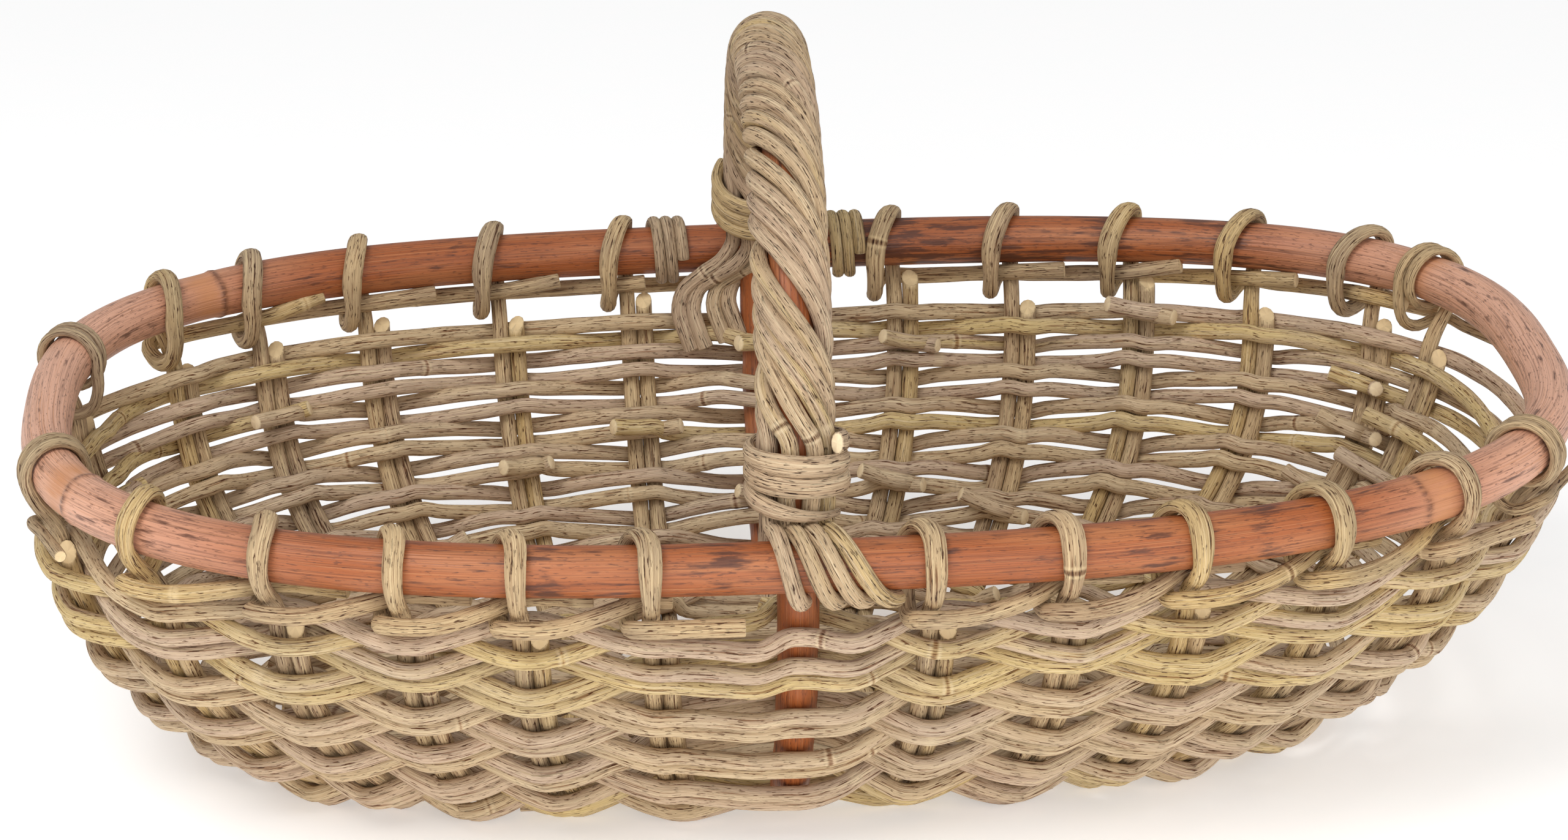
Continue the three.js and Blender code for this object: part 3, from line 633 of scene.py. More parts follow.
materials = {
    "weave_rattan": rattan("weaveRattan", 0.0006, {
        "Tone": screen(220, 192, 164), "Other Tone": screen(224, 197, 156), "Yellow": screen(232, 205, 140),
        "Grey": screen(198, 180, 160), "Streak Color": screen(158, 116, 80),
        "Cut Color": screen(244, 222, 182), "Streaks": 0.8, "Specks": 0.95, "Weathering": 0.35,
    }),
    "stake_rattan": rattan("stakeRattan", 0.0006, {
        "Tone": screen(196, 166, 130), "Other Tone": screen(212, 182, 138), "Yellow": screen(216, 184, 124),
        "Grey": screen(158, 140, 122), "Streak Color": screen(142, 102, 72),
        "Cut Color": screen(246, 220, 172), "Streaks": 0.85, "Specks": 1.0, "Weathering": 0.5,
    }),
    "wrap_rattan": rattan("wrapRattan", 0.0007, {
        "Tone": screen(208, 178, 148), "Other Tone": screen(213, 183, 144), "Yellow": screen(222, 192, 134),
        "Grey": screen(188, 166, 144), "Streak Color": screen(112, 76, 50),
        "Cut Color": screen(244, 222, 184), "Streaks": 0.65, "Specks": 1.0, "Weathering": 0.3,
    }),
    "stained_pole": poleMaterial(),
}
print("materials made")


# The rim's pole, its marks by metres along it from its right end, seen anticlockwise from above.
rim = Values(
    steps=1400,
    sides=28,
    uneven=0.00018,
    waves=[9, 2, 3],  # of the unevenness: along the pole, and round and along it
    rings=[0.118, 0.682, 0.951, 1.511],
    ringWidth=0.0016,
    ringHeight=0.0006,
    ringLean=0.0013,
    ringRagged=0.0004,
    patchAway=0.008,
    patchLength=0.009,
    patchHollowShare=0.5,
    darkPlaces=[0.372, 0.318, 0.27, 0.215, 1.16, 1.229, 1.393, 1.443],
    darkLengths=[0.026, 0.026, 0.022, 0.018, 0.007, 0.009, 0.008, 0.007],
    darkDepth=1.2,
    darkSideShare=0.3,  # how much of a dark place's depth differs round the pole
)


# The rim is the superellipse laid out at even lengths. Its radius wanders by sines of its angle and rises and
# falls as a bell curve over each growth ring, which leans a little; the patches are bell curves too.
def makeRim():
    even = np.linspace(0, 2 * np.pi, 4000)
    fine = ovalPoint(rimOval, even)
    length = lengthAlong(fine)
    at = np.arange(rim.steps) / rim.steps * length[-1]
    angle = np.interp(at, length, even)
    line = ovalPoint(rimOval, angle)
    out = np.cross(ovalTangent(rimOval, angle), zUp)
    turn = 2 * np.pi * np.arange(rim.sides) / rim.sides
    alone, around, twist = rim.waves
    waves = np.sin(alone * angle + 1)[:, None] + np.sin(around * turn + twist * angle[:, None])
    size = shape.rimRadius - rim.uneven * 2 + rim.uneven * waves
    ring, patch = np.zeros_like(size), np.zeros_like(size)
    for k, middle in enumerate(rim.rings):
        lean = rim.ringLean * np.sin(turn + 2 * k)
        away = at[:, None] - middle + lean + rim.ringRagged * np.sin(5 * turn + k)
        ring += np.exp(-((away / rim.ringWidth) ** 2))
        side = 1 if k % 2 else -1
        patch += np.exp(-(((away - side * rim.patchAway) / rim.patchLength) ** 2))
    for middle, reach in zip(rim.darkPlaces, rim.darkLengths):
        sided = 1 - rim.darkSideShare + rim.darkSideShare * np.sin(turn + 30 * middle)
        patch -= rim.darkDepth * np.exp(-(((at[:, None] - middle) / reach) ** 2)) * sided
    size += rim.ringHeight * (ring - rim.patchHollowShare * np.clip(patch, 0, 1))
    part = hoop(line, out, np.broadcast_to(zUp, out.shape), size, rim.sides, ring, patch)
    addPiece("rim_hoop", [part], "stained_pole")


makeRim()


# The handle: a pole bent into an arch and wound with eight rods. Values in pairs are for the front (side -1)
# and the back (side 1).
handle = Values(
    radius=0.0083,
    step=0.004,
    sides=20,
    rise=0.1482,
    lean=0.020,
    squareness=2.1,
    footX={-1: -0.013, 1: -0.005},
    seat=0.0004,
    mergeLevel=8,
    endLevel=7.4,
    strands=8,
    strandRadius=0.0036,
    strandOrbit=0.0122,
    strandTurns=4,
    strandPoints=170,
    wobble=0.05,
    wobbleWaves=23,
    wobbleShift=0.9,
    calmShare=0.06,
    bunching=0.1,  # how far the rods draw together in two bunches of four, low on the front
    bunchLeast=0.15,
    bunchShares=[0.3, 0.36],  # of the arch: how long the bunching takes to fade, and where it is gone
    collarTurns=3,
    collarStart=0.16,
    collarRadius=0.0044,
    collarPress=0.4,
    collarPitch=0.0076,
    collarFoot=0.0225,
    collarDip=0.003,
    collarThinShare=0.35,
    collarStep=0.002,
    innerStart=0.012,
    innerDrop={-1: 0.020, 1: 0.036},
    innerDropSpread=0.1,
    innerDrift={-1: 0.001, 1: 0.025},
    innerSpreadShare=0.62,
    innerCurl=0.2,
    innerCurlShare=0.7,
    innerReach=0.0025,
    innerTuck=0.008,
    tailBend=[112, -85, -14],  # degrees round the rim: from, to and step
    tailPitch=0.007,
    tailPress=0.0005,
    tailCurve=1.2,
    tailDrifts={-1: [0.011, 0.018, 0.022, 0.027], 1: [0.008, 0.009, 0.009, 0.008]},
)
handleHalfSpan = shape.rimHalfWidth - shape.rimRadius - handle.radius - handle.seat


# The arch above the rim: a superellipse in Y and Z that leans to the front, by its share of length.
def archTable():
    angle = np.linspace(0, np.pi, 2001)
    power = 2 / handle.squareness
    rise = np.abs(np.sin(angle)) ** power
    y = -handleHalfSpan * signedPower(np.cos(angle), power) - handle.lean * rise
    x = mix(handle.footX[-1], handle.footX[1], (y / handleHalfSpan + 1) / 2)
    line = np.stack([x, y, handle.rise * rise], axis=1)
    return line, lengthAlong(line)


archLine, archAt = archTable()
archLength = archAt[-1]
acrossHandle = unit(np.array([2 * handleHalfSpan, handle.footX[-1] - handle.footX[1], 0]))


def archPoint(at):
    return np.stack([np.interp(at, archAt, archLine[:, i]) for i in range(3)], axis=-1)


def archOut(at):
    ahead, behind = np.minimum(at + 0.001, archLength), np.maximum(at - 0.001, 0)
    return -np.cross(unit(archPoint(ahead) - archPoint(behind)), acrossHandle)


# A point beside the arch: out of its bend by the cosine of the turn and across it by the sine.
def besideArch(at, turn, orbit):
    at, turn = np.asarray(at, float), np.asarray(turn, float)[..., None]
    return archPoint(at) + orbit * (np.cos(turn) * archOut(at) + np.sin(turn) * acrossHandle)


# The handle's pole inside the wall: its seat beside the rim, brought into the wall by the square of the
# share of the way up from where it meets the wall.
def handlePoint(level, side):
    level = np.asarray(level, float)

    def onWall(at):
        oval = ovalAt(at)
        return ovalPoint(oval, angleAtX(oval, handle.footX[side], side))

    point = onWall(level)
    share = np.maximum(level - handle.mergeLevel, 0) / (topLevel - handle.mergeLevel)
    inset = abs(onWall(topLevel)[1]) - handleHalfSpan
    point[..., 1] -= side * inset * share**2
    return point


def makeBow():
    levels = np.r_[np.arange(topLevel, handle.endLevel, -0.5), handle.endLevel]
    front, back = handlePoint(levels, -1), handlePoint(levels, 1)
    over = archPoint(np.linspace(0, archLength, 60))
    line = lineThrough(np.concatenate([front[::-1], over, back]), handle.step)
    part = tube(line, handle.radius, seeded("bow"), sides=handle.sides, nodes=False, tint=rods.poleTint)
    addPiece("handle_bow", [part], "stained_pole")


# Where a strand goes at one foot: the outer four run over the rim's outer face and under it, fanned out along
# the rim; the inner four go down beside the pole, at the back foot in a fan to the left.
def strandTail(side, turn):
    orbit = handle.strandOrbit
    foot = besideArch(0 if side < 0 else archLength, turn, orbit)
    if math.cos(turn) < 0:
        share = np.linspace(0, 1, 7)[:, None]
        curl = handle.innerCurl * easeIn(handle.innerCurlShare, 1, share)
        left = handle.innerDrift[side] * (easeIn(0, handle.innerSpreadShare, share) - curl)
        lowest = handle.innerDrop[side] * (1 - handle.innerDropSpread * math.sin(turn))
        drop = mix(-handle.innerStart, lowest, share)
        reach = handleHalfSpan + handle.innerReach - abs(foot[1])
        nearer = reach * easeIn(0, 0.5, share) - handle.innerTuck * easeIn(0.5, 1, share)
        return foot + np.concatenate([-left, side * nearer * (side > 0), -drop], axis=1)
    centre = ovalPoint(rimOval, angleAtX(rimOval, handle.footX[side], side))
    place = -side * math.sin(turn) * orbit
    row = math.copysign(1.5 if abs(place) > orbit / 2 else 0.5, place)
    radius = shape.rimRadius - handle.tailPress + handle.strandRadius
    bend = np.radians(np.arange(*handle.tailBend))
    drift = np.linspace(0, 1, len(bend)) ** handle.tailCurve * handle.tailDrifts[side][int(1.5 - side * row)]
    along = -side * (row * handle.tailPitch + drift)
    return centre + np.stack([along, side * radius * np.cos(bend), radius * np.sin(bend)], axis=1)


# The strands turn evenly round the arch, sway by a sine, and lie calm where the collars hold them.
def makeStrands():
    orbit = handle.strandOrbit
    foot = 2 * shape.rimRadius
    calm = handle.collarFoot + (handle.collarTurns + 0.5) * handle.collarPitch
    at = np.linspace(calm, archLength - calm, handle.strandPoints)
    share = (at - calm) / (archLength - 2 * calm)
    calmed = easeIn(0, handle.calmShare, share) * easeIn(0, handle.calmShare, 1 - share)
    fade, gone = handle.bunchShares
    bunching = handle.bunching * (handle.bunchLeast + easeIn(0, fade, gone - share))
    for n in range(handle.strands):
        first = 2 * np.pi * (n + 0.5) / handle.strands
        sway = handle.wobble * np.sin(share * handle.wobbleWaves + handle.wobbleShift * n)
        sway = (sway - bunching * (n % 4 - 1.5)) * calmed
        winding = besideArch(at, first - 2 * np.pi * handle.strandTurns * share + sway, orbit)
        start, finish = (besideArch([place], [first], orbit) for place in (foot, archLength - foot))
        front, back = strandTail(-1, first), strandTail(1, first)
        line = lineThrough(np.concatenate([front[::-1], start, winding, finish, back]), rods.step)
        part = tube(line, handle.strandRadius, seeded("strand", n))
        addPiece("handle_strand_%d" % (n + 1), [part], "wrap_rattan")


# The tube of a rod that is wound on a middle line and pressed flat on it. It can start thin.
def woundTube(points, middle, radius, press, step, rng, thinShare=1):
    line = lineThrough(np.column_stack([points, middle]), step)
    normals = unit(line[:, :3] - line[:, 3:])
    size = radius * mix(thinShare, 1, easeIn(0, 0.12, np.linspace(0, 1, len(line))))
    return tube(line[:, :3], size, rng, press=(normals, np.full(len(line), press)))


# Three turns of one rod round the wound handle, pressed flat on it, from a tapered end at the rim upwards.
def makeCollar(side):
    turns = np.linspace(0, handle.collarTurns, 110)
    dip = handle.collarDip * (1 - easeIn(0, 0.5, turns))
    at = handle.collarFoot + handle.collarPitch * turns - dip
    if side > 0:
        at = archLength - at
    radius, press = handle.collarRadius, handle.collarPress
    orbit = handle.strandOrbit + handle.strandRadius + radius * (1 - press)
    points = besideArch(at, side * 2 * np.pi * (turns - handle.collarStart), orbit)
    step, thin, rng = handle.collarStep, handle.collarThinShare, seeded("collar", side)
    part = woundTube(points, archPoint(at), radius, press, step, rng, thin)
    addPiece("front_collar" if side < 0 else "back_collar", [part], "wrap_rattan")


makeBow()
makeStrands()
makeCollar(-1)
makeCollar(1)
print("handle made")

# The two bindings over the joint in the rim.
bindings = Values(
    turns=2.5,
    radius=0.0027,
    pitch=0.0054,
    press=0.2,
    gap=0.0003,
    step=0.0016,
    centres={"left": -0.0455, "right": 0.03597},
)


# A helix round the rim's pole: out by the cosine of the turn and up by its sine, pressed on the pole.
def makeBinding(name, centreX):
    turns = np.linspace(0, bindings.turns, 70)
    angle = angleAtX(rimOval, centreX + bindings.pitch * (turns - bindings.turns / 2), 1)
    out = np.cross(ovalTangent(rimOval, angle), zUp)
    radius, press = bindings.radius, bindings.press
    orbit = shape.rimRadius + bindings.gap + radius * (1 - press)
    turn = 2 * np.pi * turns[:, None]
    middle = ovalPoint(rimOval, angle)
    points = middle + orbit * (np.cos(turn) * out + np.sin(turn) * zUp)
    part = woundTube(points, middle, radius, press, bindings.step, seeded("binding", len(name)))
    addPiece(name + "_rim_binding", [part], "wrap_rattan")


for name, centreX in bindings.centres.items():
    makeBinding(name, centreX)

# The lashings: each grows out of the left rod of its pair and is pressed flat where it lies over the rim.
lashings = Values(
    radius=0.0036,
    endRadius=0.0025,
    width=0.0045,
    endWidth=0.003,
    widthSpread=[0.94, 1.06],
    press=0.36,
    pressShare=0.15,
    widenShare=0.3,
    rimGap=0.0004,
    gap=0.0005,
    side=0.009,
    endSide=0.0106,
    driftShare=0.4,
    turnSteps=14,
    finishAngle=190,
    hang=0.024,
    crossDrop=0.0205,
    tuckDrop=0.0146,
    tuckInset=0.0046,
    tuckBefore=0.0071,
    fullness=1.02,
    tail=0.024,
    tailSpread=[0.8, 1.15],
    tailLift=[0, 0.3],
    tailInsetShare=0.15,
    shortTail=0.005,
    hangInsetShares=[1, 0.72, 0.26],
    hangDropShares=[0.48, 0.86, 1],
    climbShare=0.7,
)


# A table of a line's points with its radius, how much it is pressed and the direction that it is pressed in.
def tableOf(points, radius, amount=0.0, normals=(0, 0, 1)):
    rest = [np.broadcast_to(value, len(points)) for value in (radius, amount)]
    return np.column_stack([points, *rest, np.broadcast_to(normals, (len(points), 3))])


# The table of a lashing from the top of its stake: up outside the rim, round it once or twice drifting to the
# left, down inside, out under the rim, across its own pair and inside the next one.
def lashing(angleOf, nextAngleOf, side, turns, radius, width, shift, tail, lift=0.0):
    rimAngle = angleOf(rimOval)
    toNext = nextAngleOf(rimOval) - rimAngle if nextAngleOf else 0.0

    def at(share, outwards, upwards, rightwards):
        angle = rimAngle + share * toNext
        along = -side * ovalTangent(rimOval, angle)
        out = -side * np.cross(along, zUp)
        return ovalPoint(rimOval, angle) + out * outwards + zUp * upwards + along * rightwards

    orbit = shape.rimRadius + lashings.rimGap + width * (1 - lashings.press)
    left = -stakes.radius
    top = standing(topLevel, angleOf)[0]
    centre = at(0, 0, 0, 0)
    start = np.array([(top - centre) @ (at(0, 1, 0, 0) - centre), top[2] - centre[2]])
    reach = np.linalg.norm(start)
    leave = math.atan2(start[1], start[0]) + math.acos(orbit / reach)
    rise = unit(orbit * np.array([math.cos(leave), math.sin(leave)]) - start)
    finish = math.radians(lashings.finishAngle) + 2 * math.pi * (turns - 1)
    share = np.linspace(0, 1, lashings.turnSteps * turns)
    turn = mix(leave, finish, share)
    drift = share if turns > 1 else easeIn(lashings.driftShare, 1, share)
    over = np.array([
        at(0, orbit * math.cos(t), orbit * math.sin(t), left - shift * d) for t, d in zip(turn, drift)
    ])
    normals = np.array([at(0, math.cos(t), math.sin(t), 0) - centre for t in turn])
    crossDrop, tuckDrop, tuckInset = (lashings[key] for key in ("crossDrop", "tuckDrop", "tuckInset"))
    clear = 2 * radius + lashings.gap
    climb = (start[1] + crossDrop - rise[0] * clear) / -rise[1]
    crossing = start[0] + climb * rise[0] + clear * rise[1]
    under = []
    for inset, drop in zip(lashings.hangInsetShares, lashings.hangDropShares):
        under.append(at(0, -orbit * inset, -lashings.hang * drop, left - shift))
    under.append(at(0, crossing, -crossDrop, left - shift / 2))
    under.append(at(0, crossing, -crossDrop, 2 * stakes.radius))
    if nextAngleOf:
        climbed = lashings.climbShare
        inset = tuckInset + lashings.tailInsetShare * tail
        under.append(at(climbed, 0, -mix(crossDrop, tuckDrop, climbed), 0))
        under.append(at(1, -tuckInset, -tuckDrop, -lashings.tuckBefore))
        under.append(at(1, -inset, -tuckDrop + lift * tail, tail))
    else:
        under.append(at(0, crossing, -crossDrop, 2 * stakes.radius + tail))
    eased = easeIn(0, lashings.pressShare, share) * easeIn(0, lashings.pressShare, 1 - share)
    pressed = lashings.press * eased
    thick = mix(stakes.radius, width, easeIn(0, lashings.widenShare, share)) if turns < 2 else width
    thin = lashings.fullness * radius
    return np.concatenate([tableOf(over, thick, pressed, normals), tableOf(under, thin, 0.0, normals[-1])])


# A stake rod down the wall from its top level to the base, to the left or right of its pair's middle.
def stakeRun(angleOf, side, offset, top, lowest):
    point, along = standing(np.arange(top, lowest - 0.01, -0.5), angleOf)[:2]
    return point - side * along * offset


# The tube of a table as tableOf lays it out, after a smooth line is drawn through it.
def tubeOf(table, rng, slants):
    line = lineThrough(table, rods.step)
    press = unit(line[:, 5:8]), np.clip(line[:, 4], 0, 1)
    return tube(line[:, :3], line[:, 3], rng, press=press, slants=slants)


def crossStakes(i):
    rng = seeded("crossStakes", i)
    nearHandle = i + 1 == stakes.leftPairs or i + 1 == len(frontPairs)
    follow = None if nearHandle else i + 1
    tail = lashings.shortTail if i + 2 == stakes.leftPairs else lashings.tail
    parts = []
    for offset in (-stakes.radius, stakes.radius):
        runs, loops, slants = [], [], []
        for side, pairs in ((-1, frontPairs), (1, backPairs)):
            top = topLevel
            if offset > 0:
                top = topLevel + stakes.cutLevels[side][i] + rng.uniform(0, stakes.cutSpread)
            runs.append(stakeRun(pairs[i], side, offset, top, shape.baseLevels))
            after = pairs[follow] if follow else None
            width = lashings.width * rng.uniform(*lashings.widthSpread)
            lift = 0.0 if side < 0 else rng.uniform(*lashings.tailLift)
            long = tail * rng.uniform(*lashings.tailSpread)
            loops.append(lashing(pairs[i], after, side, 1, lashings.radius, width, lashings.side, long, lift))
            slants.append((stakes.cutLean * rng.uniform(-1, 1), *stakes.cutSlant))
        under = mix(runs[0][-1], runs[1][-1], np.array(stakes.underShares)[:, None])
        table = tableOf(np.concatenate([runs[0], under, runs[1][::-1]]), stakes.radius)
        if offset < 0:
            table[:, 5:8] = mix(loops[0][0, 5:8], loops[1][0, 5:8], np.linspace(0, 1, len(table))[:, None])
            table = np.concatenate([loops[0][::-1], table, loops[1]])
            slants = (None, None)
        parts.append(tubeOf(table, rng, slants))
    addPiece("cross_stakes_%02d" % (i + 1), parts, "stake_rattan")


def endStakes(name):
    rng = seeded("endStakes", len(name))
    angleOf = endPairs[name]
    side = -1 if name.startswith("front") else 1
    parts = []
    for offset in (-stakes.radius, stakes.radius):
        top = topLevel if offset < 0 else topLevel - stakes.endCut
        table = tableOf(stakeRun(angleOf, side, offset, top, shape.baseLevels - 1), stakes.radius)
        slants = ((0, *stakes.cutSlant), None)
        if offset < 0:
            shift, width = lashings.endSide, lashings.endWidth
            loop = lashing(angleOf, None, side, 2, lashings.endRadius, width, shift, lashings.tail)
            table[:, 5:8] = loop[0, 5:8]
            table = np.concatenate([loop[::-1], table])
            slants = (None, None)
        parts.append(tubeOf(table, rng, slants))
    addPiece("end_stakes_" + name, parts, "stake_rattan")


for i in range(len(frontPairs)):
    crossStakes(i)
for name in endPairs:
    endStakes(name)
print("stakes made")

# The weave: nine courses of two rods with two courses of one rod above them, each going outside one pair of
# stakes and inside the next.
weave = Values(
    levels=[6.5, 7.5, 8.5, 9.5, 10.5, 11.5, 12.5, 13.5, 14.46, 15.22, 15.7],
    singles=2,
    lowLevel=5.65,  # of the course that turns the wall into the base
    radius=0.0036,
    singleRadius=0.0038,
    radiusSpread=[0.94, 1.04],
    spread=0.0039,  # each rod's distance from the middle of its course
    settling=0.0003,
    gap=0.0003,
    nearPass=0.0032,
    flankShares=[0.25, 0.5, 0.75],
    roundness=0.08,
    parting=0.0013,
    endExtra=6,
    jointCrossings=[4, 9],
    jointOver=[0.01, 0.017],
    jointLift=0.0064,
    jointBend=0.0055,
    groundShare=1.13,  # of a rod's radius, that its middle stays above the ground
)


# The crossings of one course, in order round the basket from the front left: place, directions, offset,
# angle, and the side that the course passes on, outside (1) or inside (-1). It changes sides from each
# crossing to the next, except that it passes the handle's front foot as it does the pair to its left, and the
# two pairs of the right end alike.
def crossings(level, number):
    clear = weave.radius + weave.gap

    def stakeAt(angleOf):
        point, along, down, out = standing(level, angleOf)
        angle = float(angleOf(ovalAt(level)))
        return Values(
            point=point, along=along, down=down, out=out, angle=angle, offset=stakes.radius + clear,
        )

    def handleAt(side):
        place = stakeAt(lambda oval: angleAtX(oval, handle.footX[side], side))
        place.point = handlePoint(level, side)
        place.down = unit(handlePoint(level - 0.5, side) - handlePoint(level + 0.5, side))
        place.out = np.cross(place.down, place.along)
        place.offset = handle.radius + clear if level > handle.endLevel else weave.gap
        return place

    half = stakes.leftPairs
    fronts = [stakeAt(pair) for pair in frontPairs]
    backs = [stakeAt(pair) for pair in backPairs[::-1]]
    ends = {name: stakeAt(pair) for name, pair in endPairs.items()}
    places = [
        ends["front_left"], *fronts[:half], handleAt(-1), *fronts[half:], ends["front_right"],
        ends["back_right"], *backs[:half], handleAt(1), *backs[half:], ends["back_left"],
    ]
    for i, place in enumerate(places):
        turn = i - (i > half) - (i > len(frontPairs) + 2)
        place.side = -1 if (turn + number) % 2 else 1
    return places


# One rod of a course from crossing start to crossing stop, counted on round the basket: two points at each
# crossing, and between two crossings points on the wall's own oval, moved out by a mix of the two offsets
# that is nearly straight and a little rounded by a sine. The rods of a pair part a little between crossings.
def weaver(level, places, start, stop, lane, rng):
    count, near = len(places), weave.nearPass
    table = []
    for i in range(start, stop + 1):
        place, follow = places[i % count], places[(i + 1) % count]
        outwards = place.out * place.side
        drop = place.down * (lane * weave.spread + rng.normal(0, weave.settling))
        centre = place.point + outwards * place.offset + drop
        shifts = [-near, near]
        over = rng.uniform(*weave.jointOver)
        if i == start:
            shifts = [-over, -near, near]
        if i == stop:
            centre = centre + outwards * weave.jointLift
            shifts = [-near, near / 2, over]
        table += [centre + place.along * shift for shift in shifts]
        if i == start:
            table[0] = table[0] + outwards * weave.jointBend
        if i == stop:
            table[-1] = table[-1] + outwards * weave.jointBend
            break
        span = (follow.angle - place.angle) % (2 * np.pi)
        isEnd = place.point[0] * follow.point[0] > 0 and place.point[1] * follow.point[1] < 0
        shares = np.arange(1, weave.endExtra + 1) / (weave.endExtra + 1) if isEnd else weave.flankShares
        parting = rng.uniform(0, weave.parting)
        for share in shares:
            angle = place.angle + span * share
            point, _, down, out = standing(level, lambda oval: angle)
            eased = easeIn(0, 1, share) if isEnd else share - weave.roundness * math.sin(2 * math.pi * share)
            swing = mix(place.side * place.offset, follow.side * follow.offset, eased)
            apart = weave.spread + parting * math.sin(math.pi * share)
            table.append(point + out * swing + down * lane * apart)
    return np.array(table)


# Each rod lane is two rods that end on crossings where the course is inside.
def courseRods(level, number, lanes, rng):
    places = crossings(level, number)
    count = len(places)
    inside = [i for i in range(count) if places[i].side < 0]
    parts = []
    for lane in lanes:
        pick = int(rng.integers(len(inside)))
        first = inside[pick]
        other = inside[(pick + int(rng.integers(*weave.jointCrossings))) % len(inside)]
        middle = other if other > first else other + count
        radius = weave.radius if lane else weave.singleRadius
        for start, stop in ((first, middle), (middle, first + count)):
            line = lineThrough(weaver(level, places, start, stop, lane, rng), rods.step)
            line[:, 2] = np.maximum(line[:, 2], weave.groundShare * radius - shape.rimHeight)
            parts.append(tube(line, radius * rng.uniform(*weave.radiusSpread), rng))
    return parts


def wallCourse(number, level):
    rng = seeded("course", number)
    count = len(weave.levels)
    lanes = (0,) if number > count - weave.singles else (-1, 1)
    parts = courseRods(level, number, lanes, rng)
    if number == 1:
        parts += courseRods(weave.lowLevel, 0, (-1, 1), rng)
    addPiece("wall_course_%02d" % (count + 1 - number), parts, "weave_rattan")


base = Values(
    radius=0.003,
    lane=0.0032,
    rowPitch=0.0138,
    rowHalfWidth=0.0062,
    recess=0.005,
    crossedWithin=0.008,  # the last stake pair is this far inside the rods' ends at least
    nearPass=0.0045,
    tail=0.0213,
    offset=0.0068,
)


# A pair of base rods: straight lengthways, over one cross stake and under the next.
def baseRods(row, side):
    rng = seeded("base", 2 * row + (side > 0))
    y = side * (row + 0.5) * base.rowPitch
    inner = ovalAt(shape.baseLevels)
    edge = (abs(y) + base.rowHalfWidth) / inner.b
    reach = inner.a * (1 - edge ** inner.squareness) ** (1 / inner.squareness) - base.recess
    middle = shape.baseShift
    xs = [middle + share * shape.baseHalfLength for share in stakes.baseShares]
    numbers = [i + 1 if i < stakes.leftPairs else i + 2 for i in range(len(xs))]
    crossed = [(x, n) for x, n in zip(xs, numbers) if abs(x - middle) < reach - base.crossedWithin]
    parts = []
    for lane in (-1, 1):
        table = []
        for k, (x, number) in enumerate(crossed):
            turn = 1 if (number + row + (side < 0)) % 2 else -1
            z = -shape.wallDepth + turn * base.offset
            shifts = [-base.nearPass, base.nearPass]
            if k == 0:
                shifts = [-min(base.tail, x - middle + reach), *shifts]
            if k == len(crossed) - 1:
                shifts = [*shifts, min(base.tail, middle + reach - x)]
            table += [[x + shift, y + lane * base.lane, z] for shift in shifts]
        parts.append(tube(lineThrough(table, rods.step), base.radius, rng))
    addPiece("base_rods_%s_%02d" % ("front" if side < 0 else "back", row + 1), parts, "weave_rattan")


for number, level in enumerate(weave.levels, 1):
    wallCourse(number, level)
for row in range(shape.baseLevels):
    baseRods(row, -1)
    baseRods(row, 1)
print("weave made")

# The floor, the light and the camera. Each lamp has its place, power, size and target.
stage = Values(
    floorSize=9.0,
    floorGlow=0.34,
    worldStrength=0.48,
    lamps={
        "key": [(-0.9, -1.1, 1.9), 23, 1.0, (0, 0, 0.1)],
        "fill": [(1.4, -0.9, 1.1), 4, 1.2, (0, 0, 0.1)],
        "front": [(0.2, -2.0, 0.55), 14, 1.3, (0, 0, 0.05)],
    },
)


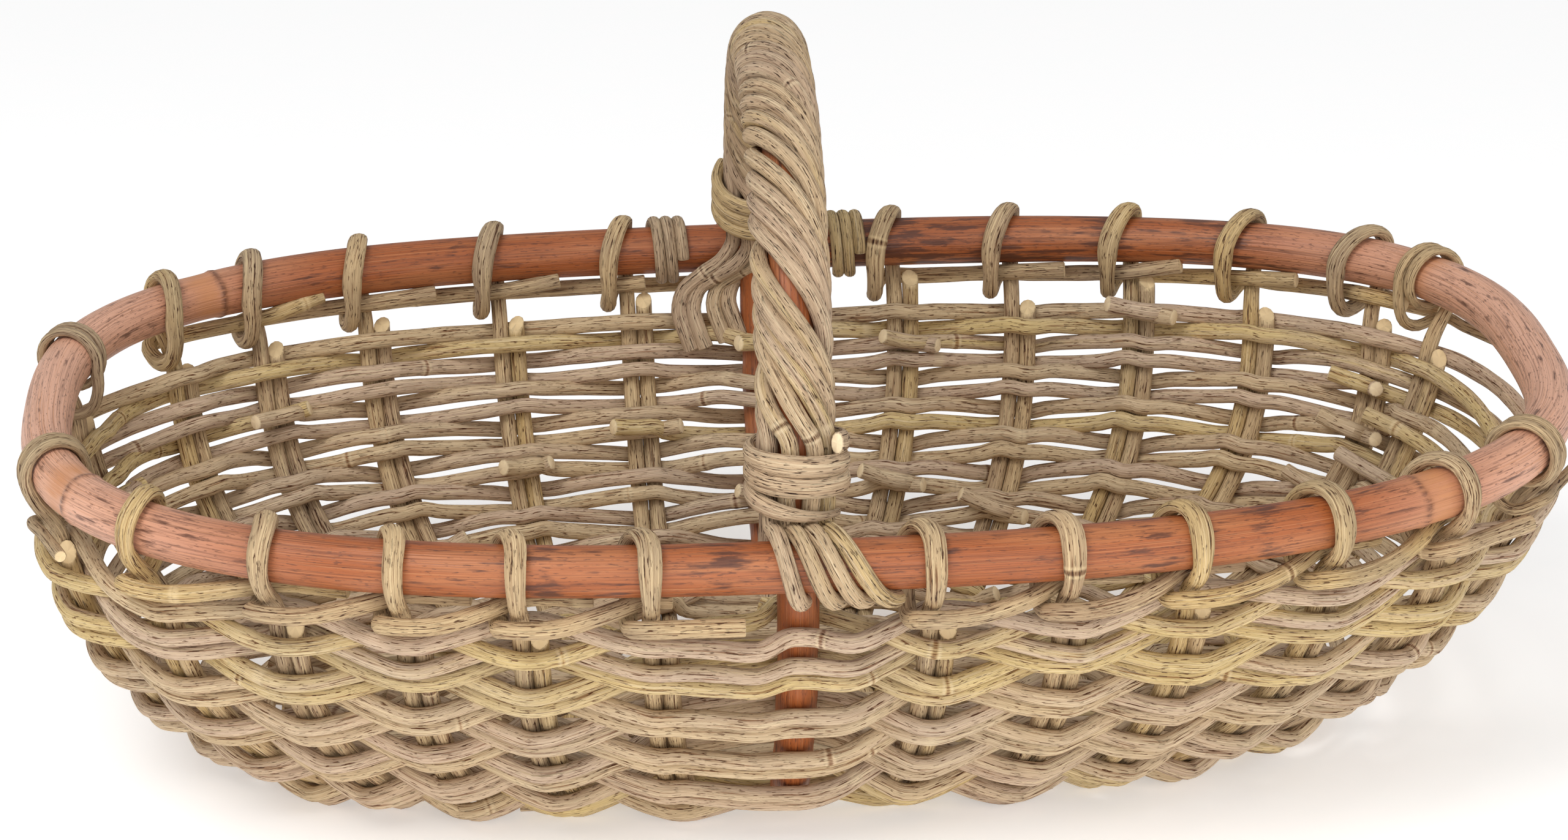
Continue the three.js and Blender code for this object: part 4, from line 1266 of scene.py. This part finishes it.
def makeStage():
    bpy.ops.mesh.primitive_plane_add(size=stage.floorSize)
    floor = bpy.context.object
    floor.name = "floor"
    material, tree, shader = surface("paleFloor")
    place = put(tree, "ShaderNodeTexCoord").outputs["Object"]
    noise = put(tree, "ShaderNodeTexNoise", {"Vector": place, "Scale": 60.0}).outputs["Fac"]
    red = band(tree, noise, 0, 1, 0.93, 0.95)
    shade = put(tree, "ShaderNodeCombineColor", {0: red, 1: 0.94, 2: 0.94}).outputs[0]
    tree.links.new(shade, shader.inputs["Base Color"])
    shader.inputs["Roughness"].default_value = 0.9
    shader.inputs["Emission Color"].default_value = (1, 1, 1, 1)
    shader.inputs["Emission Strength"].default_value = stage.floorGlow
    floor.data.materials.append(material)
    world = bpy.data.worlds.new("studio")
    bpy.context.scene.world = world
    world.use_nodes = True
    tree = world.node_tree
    rays = put(tree, "ShaderNodeLightPath").outputs
    seen = maths(tree, "MAXIMUM", rays["Is Camera Ray"], rays["Is Transmission Ray"])
    strength = maths(tree, "MULTIPLY_ADD", seen, 1 - stage.worldStrength, stage.worldStrength)
    ground = tree.nodes["Background"]
    ground.inputs["Color"].default_value = (1, 1, 1, 1)
    tree.links.new(strength, ground.inputs["Strength"])


def addLamp(name, place, power, size, target):
    lamp = bpy.data.lights.new(name, "AREA")
    lamp.energy, lamp.size = power, size
    made = bpy.data.objects.new(name, lamp)
    toTarget = Vector(target) - Vector(place)
    made.matrix_world = Matrix.Translation(place) @ toTarget.to_track_quat("-Z", "Y").to_matrix().to_4x4()
    bpy.context.scene.collection.objects.link(made)


# The photograph's camera: its direction by azimuth, height and roll, its distance, and its aim beside the
# rim's middle.
view = Values(
    azimuth=-4.0,
    height=21.28,
    roll=-0.75,
    distance=2.1,
    lens=113.64,
    aimX=-0.00567,
    aimZ=-0.01176,
)


def makeCamera():
    a, e, r = (math.radians(view[key]) for key in ("azimuth", "height", "roll"))
    back = np.array([math.sin(a) * math.cos(e), -math.cos(a) * math.cos(e), math.sin(e)])
    level = unit(np.cross(-back, zUp))
    steep = np.cross(level, -back)
    right = math.cos(r) * level + math.sin(r) * steep
    steep = -math.sin(r) * level + math.cos(r) * steep
    place = rimMiddle + view.aimX * right + view.aimZ * steep + back * view.distance
    data = bpy.data.cameras.new("photoCamera")
    data.lens, data.sensor_width, data.sensor_fit = view.lens, 36, "HORIZONTAL"
    camera = bpy.data.objects.new("photoCamera", data)
    matrix = np.eye(4)
    matrix[:3, 0], matrix[:3, 1], matrix[:3, 2], matrix[:3, 3] = right, steep, back, place
    camera.matrix_world = Matrix(matrix.tolist())
    bpy.context.scene.collection.objects.link(camera)
    bpy.context.scene.camera = camera


makeStage()
for name, settings in stage.lamps.items():
    addLamp(name, *settings)
makeCamera()
bpy.context.scene.view_settings.view_transform = "Standard"
print("stage, lamps and camera made")
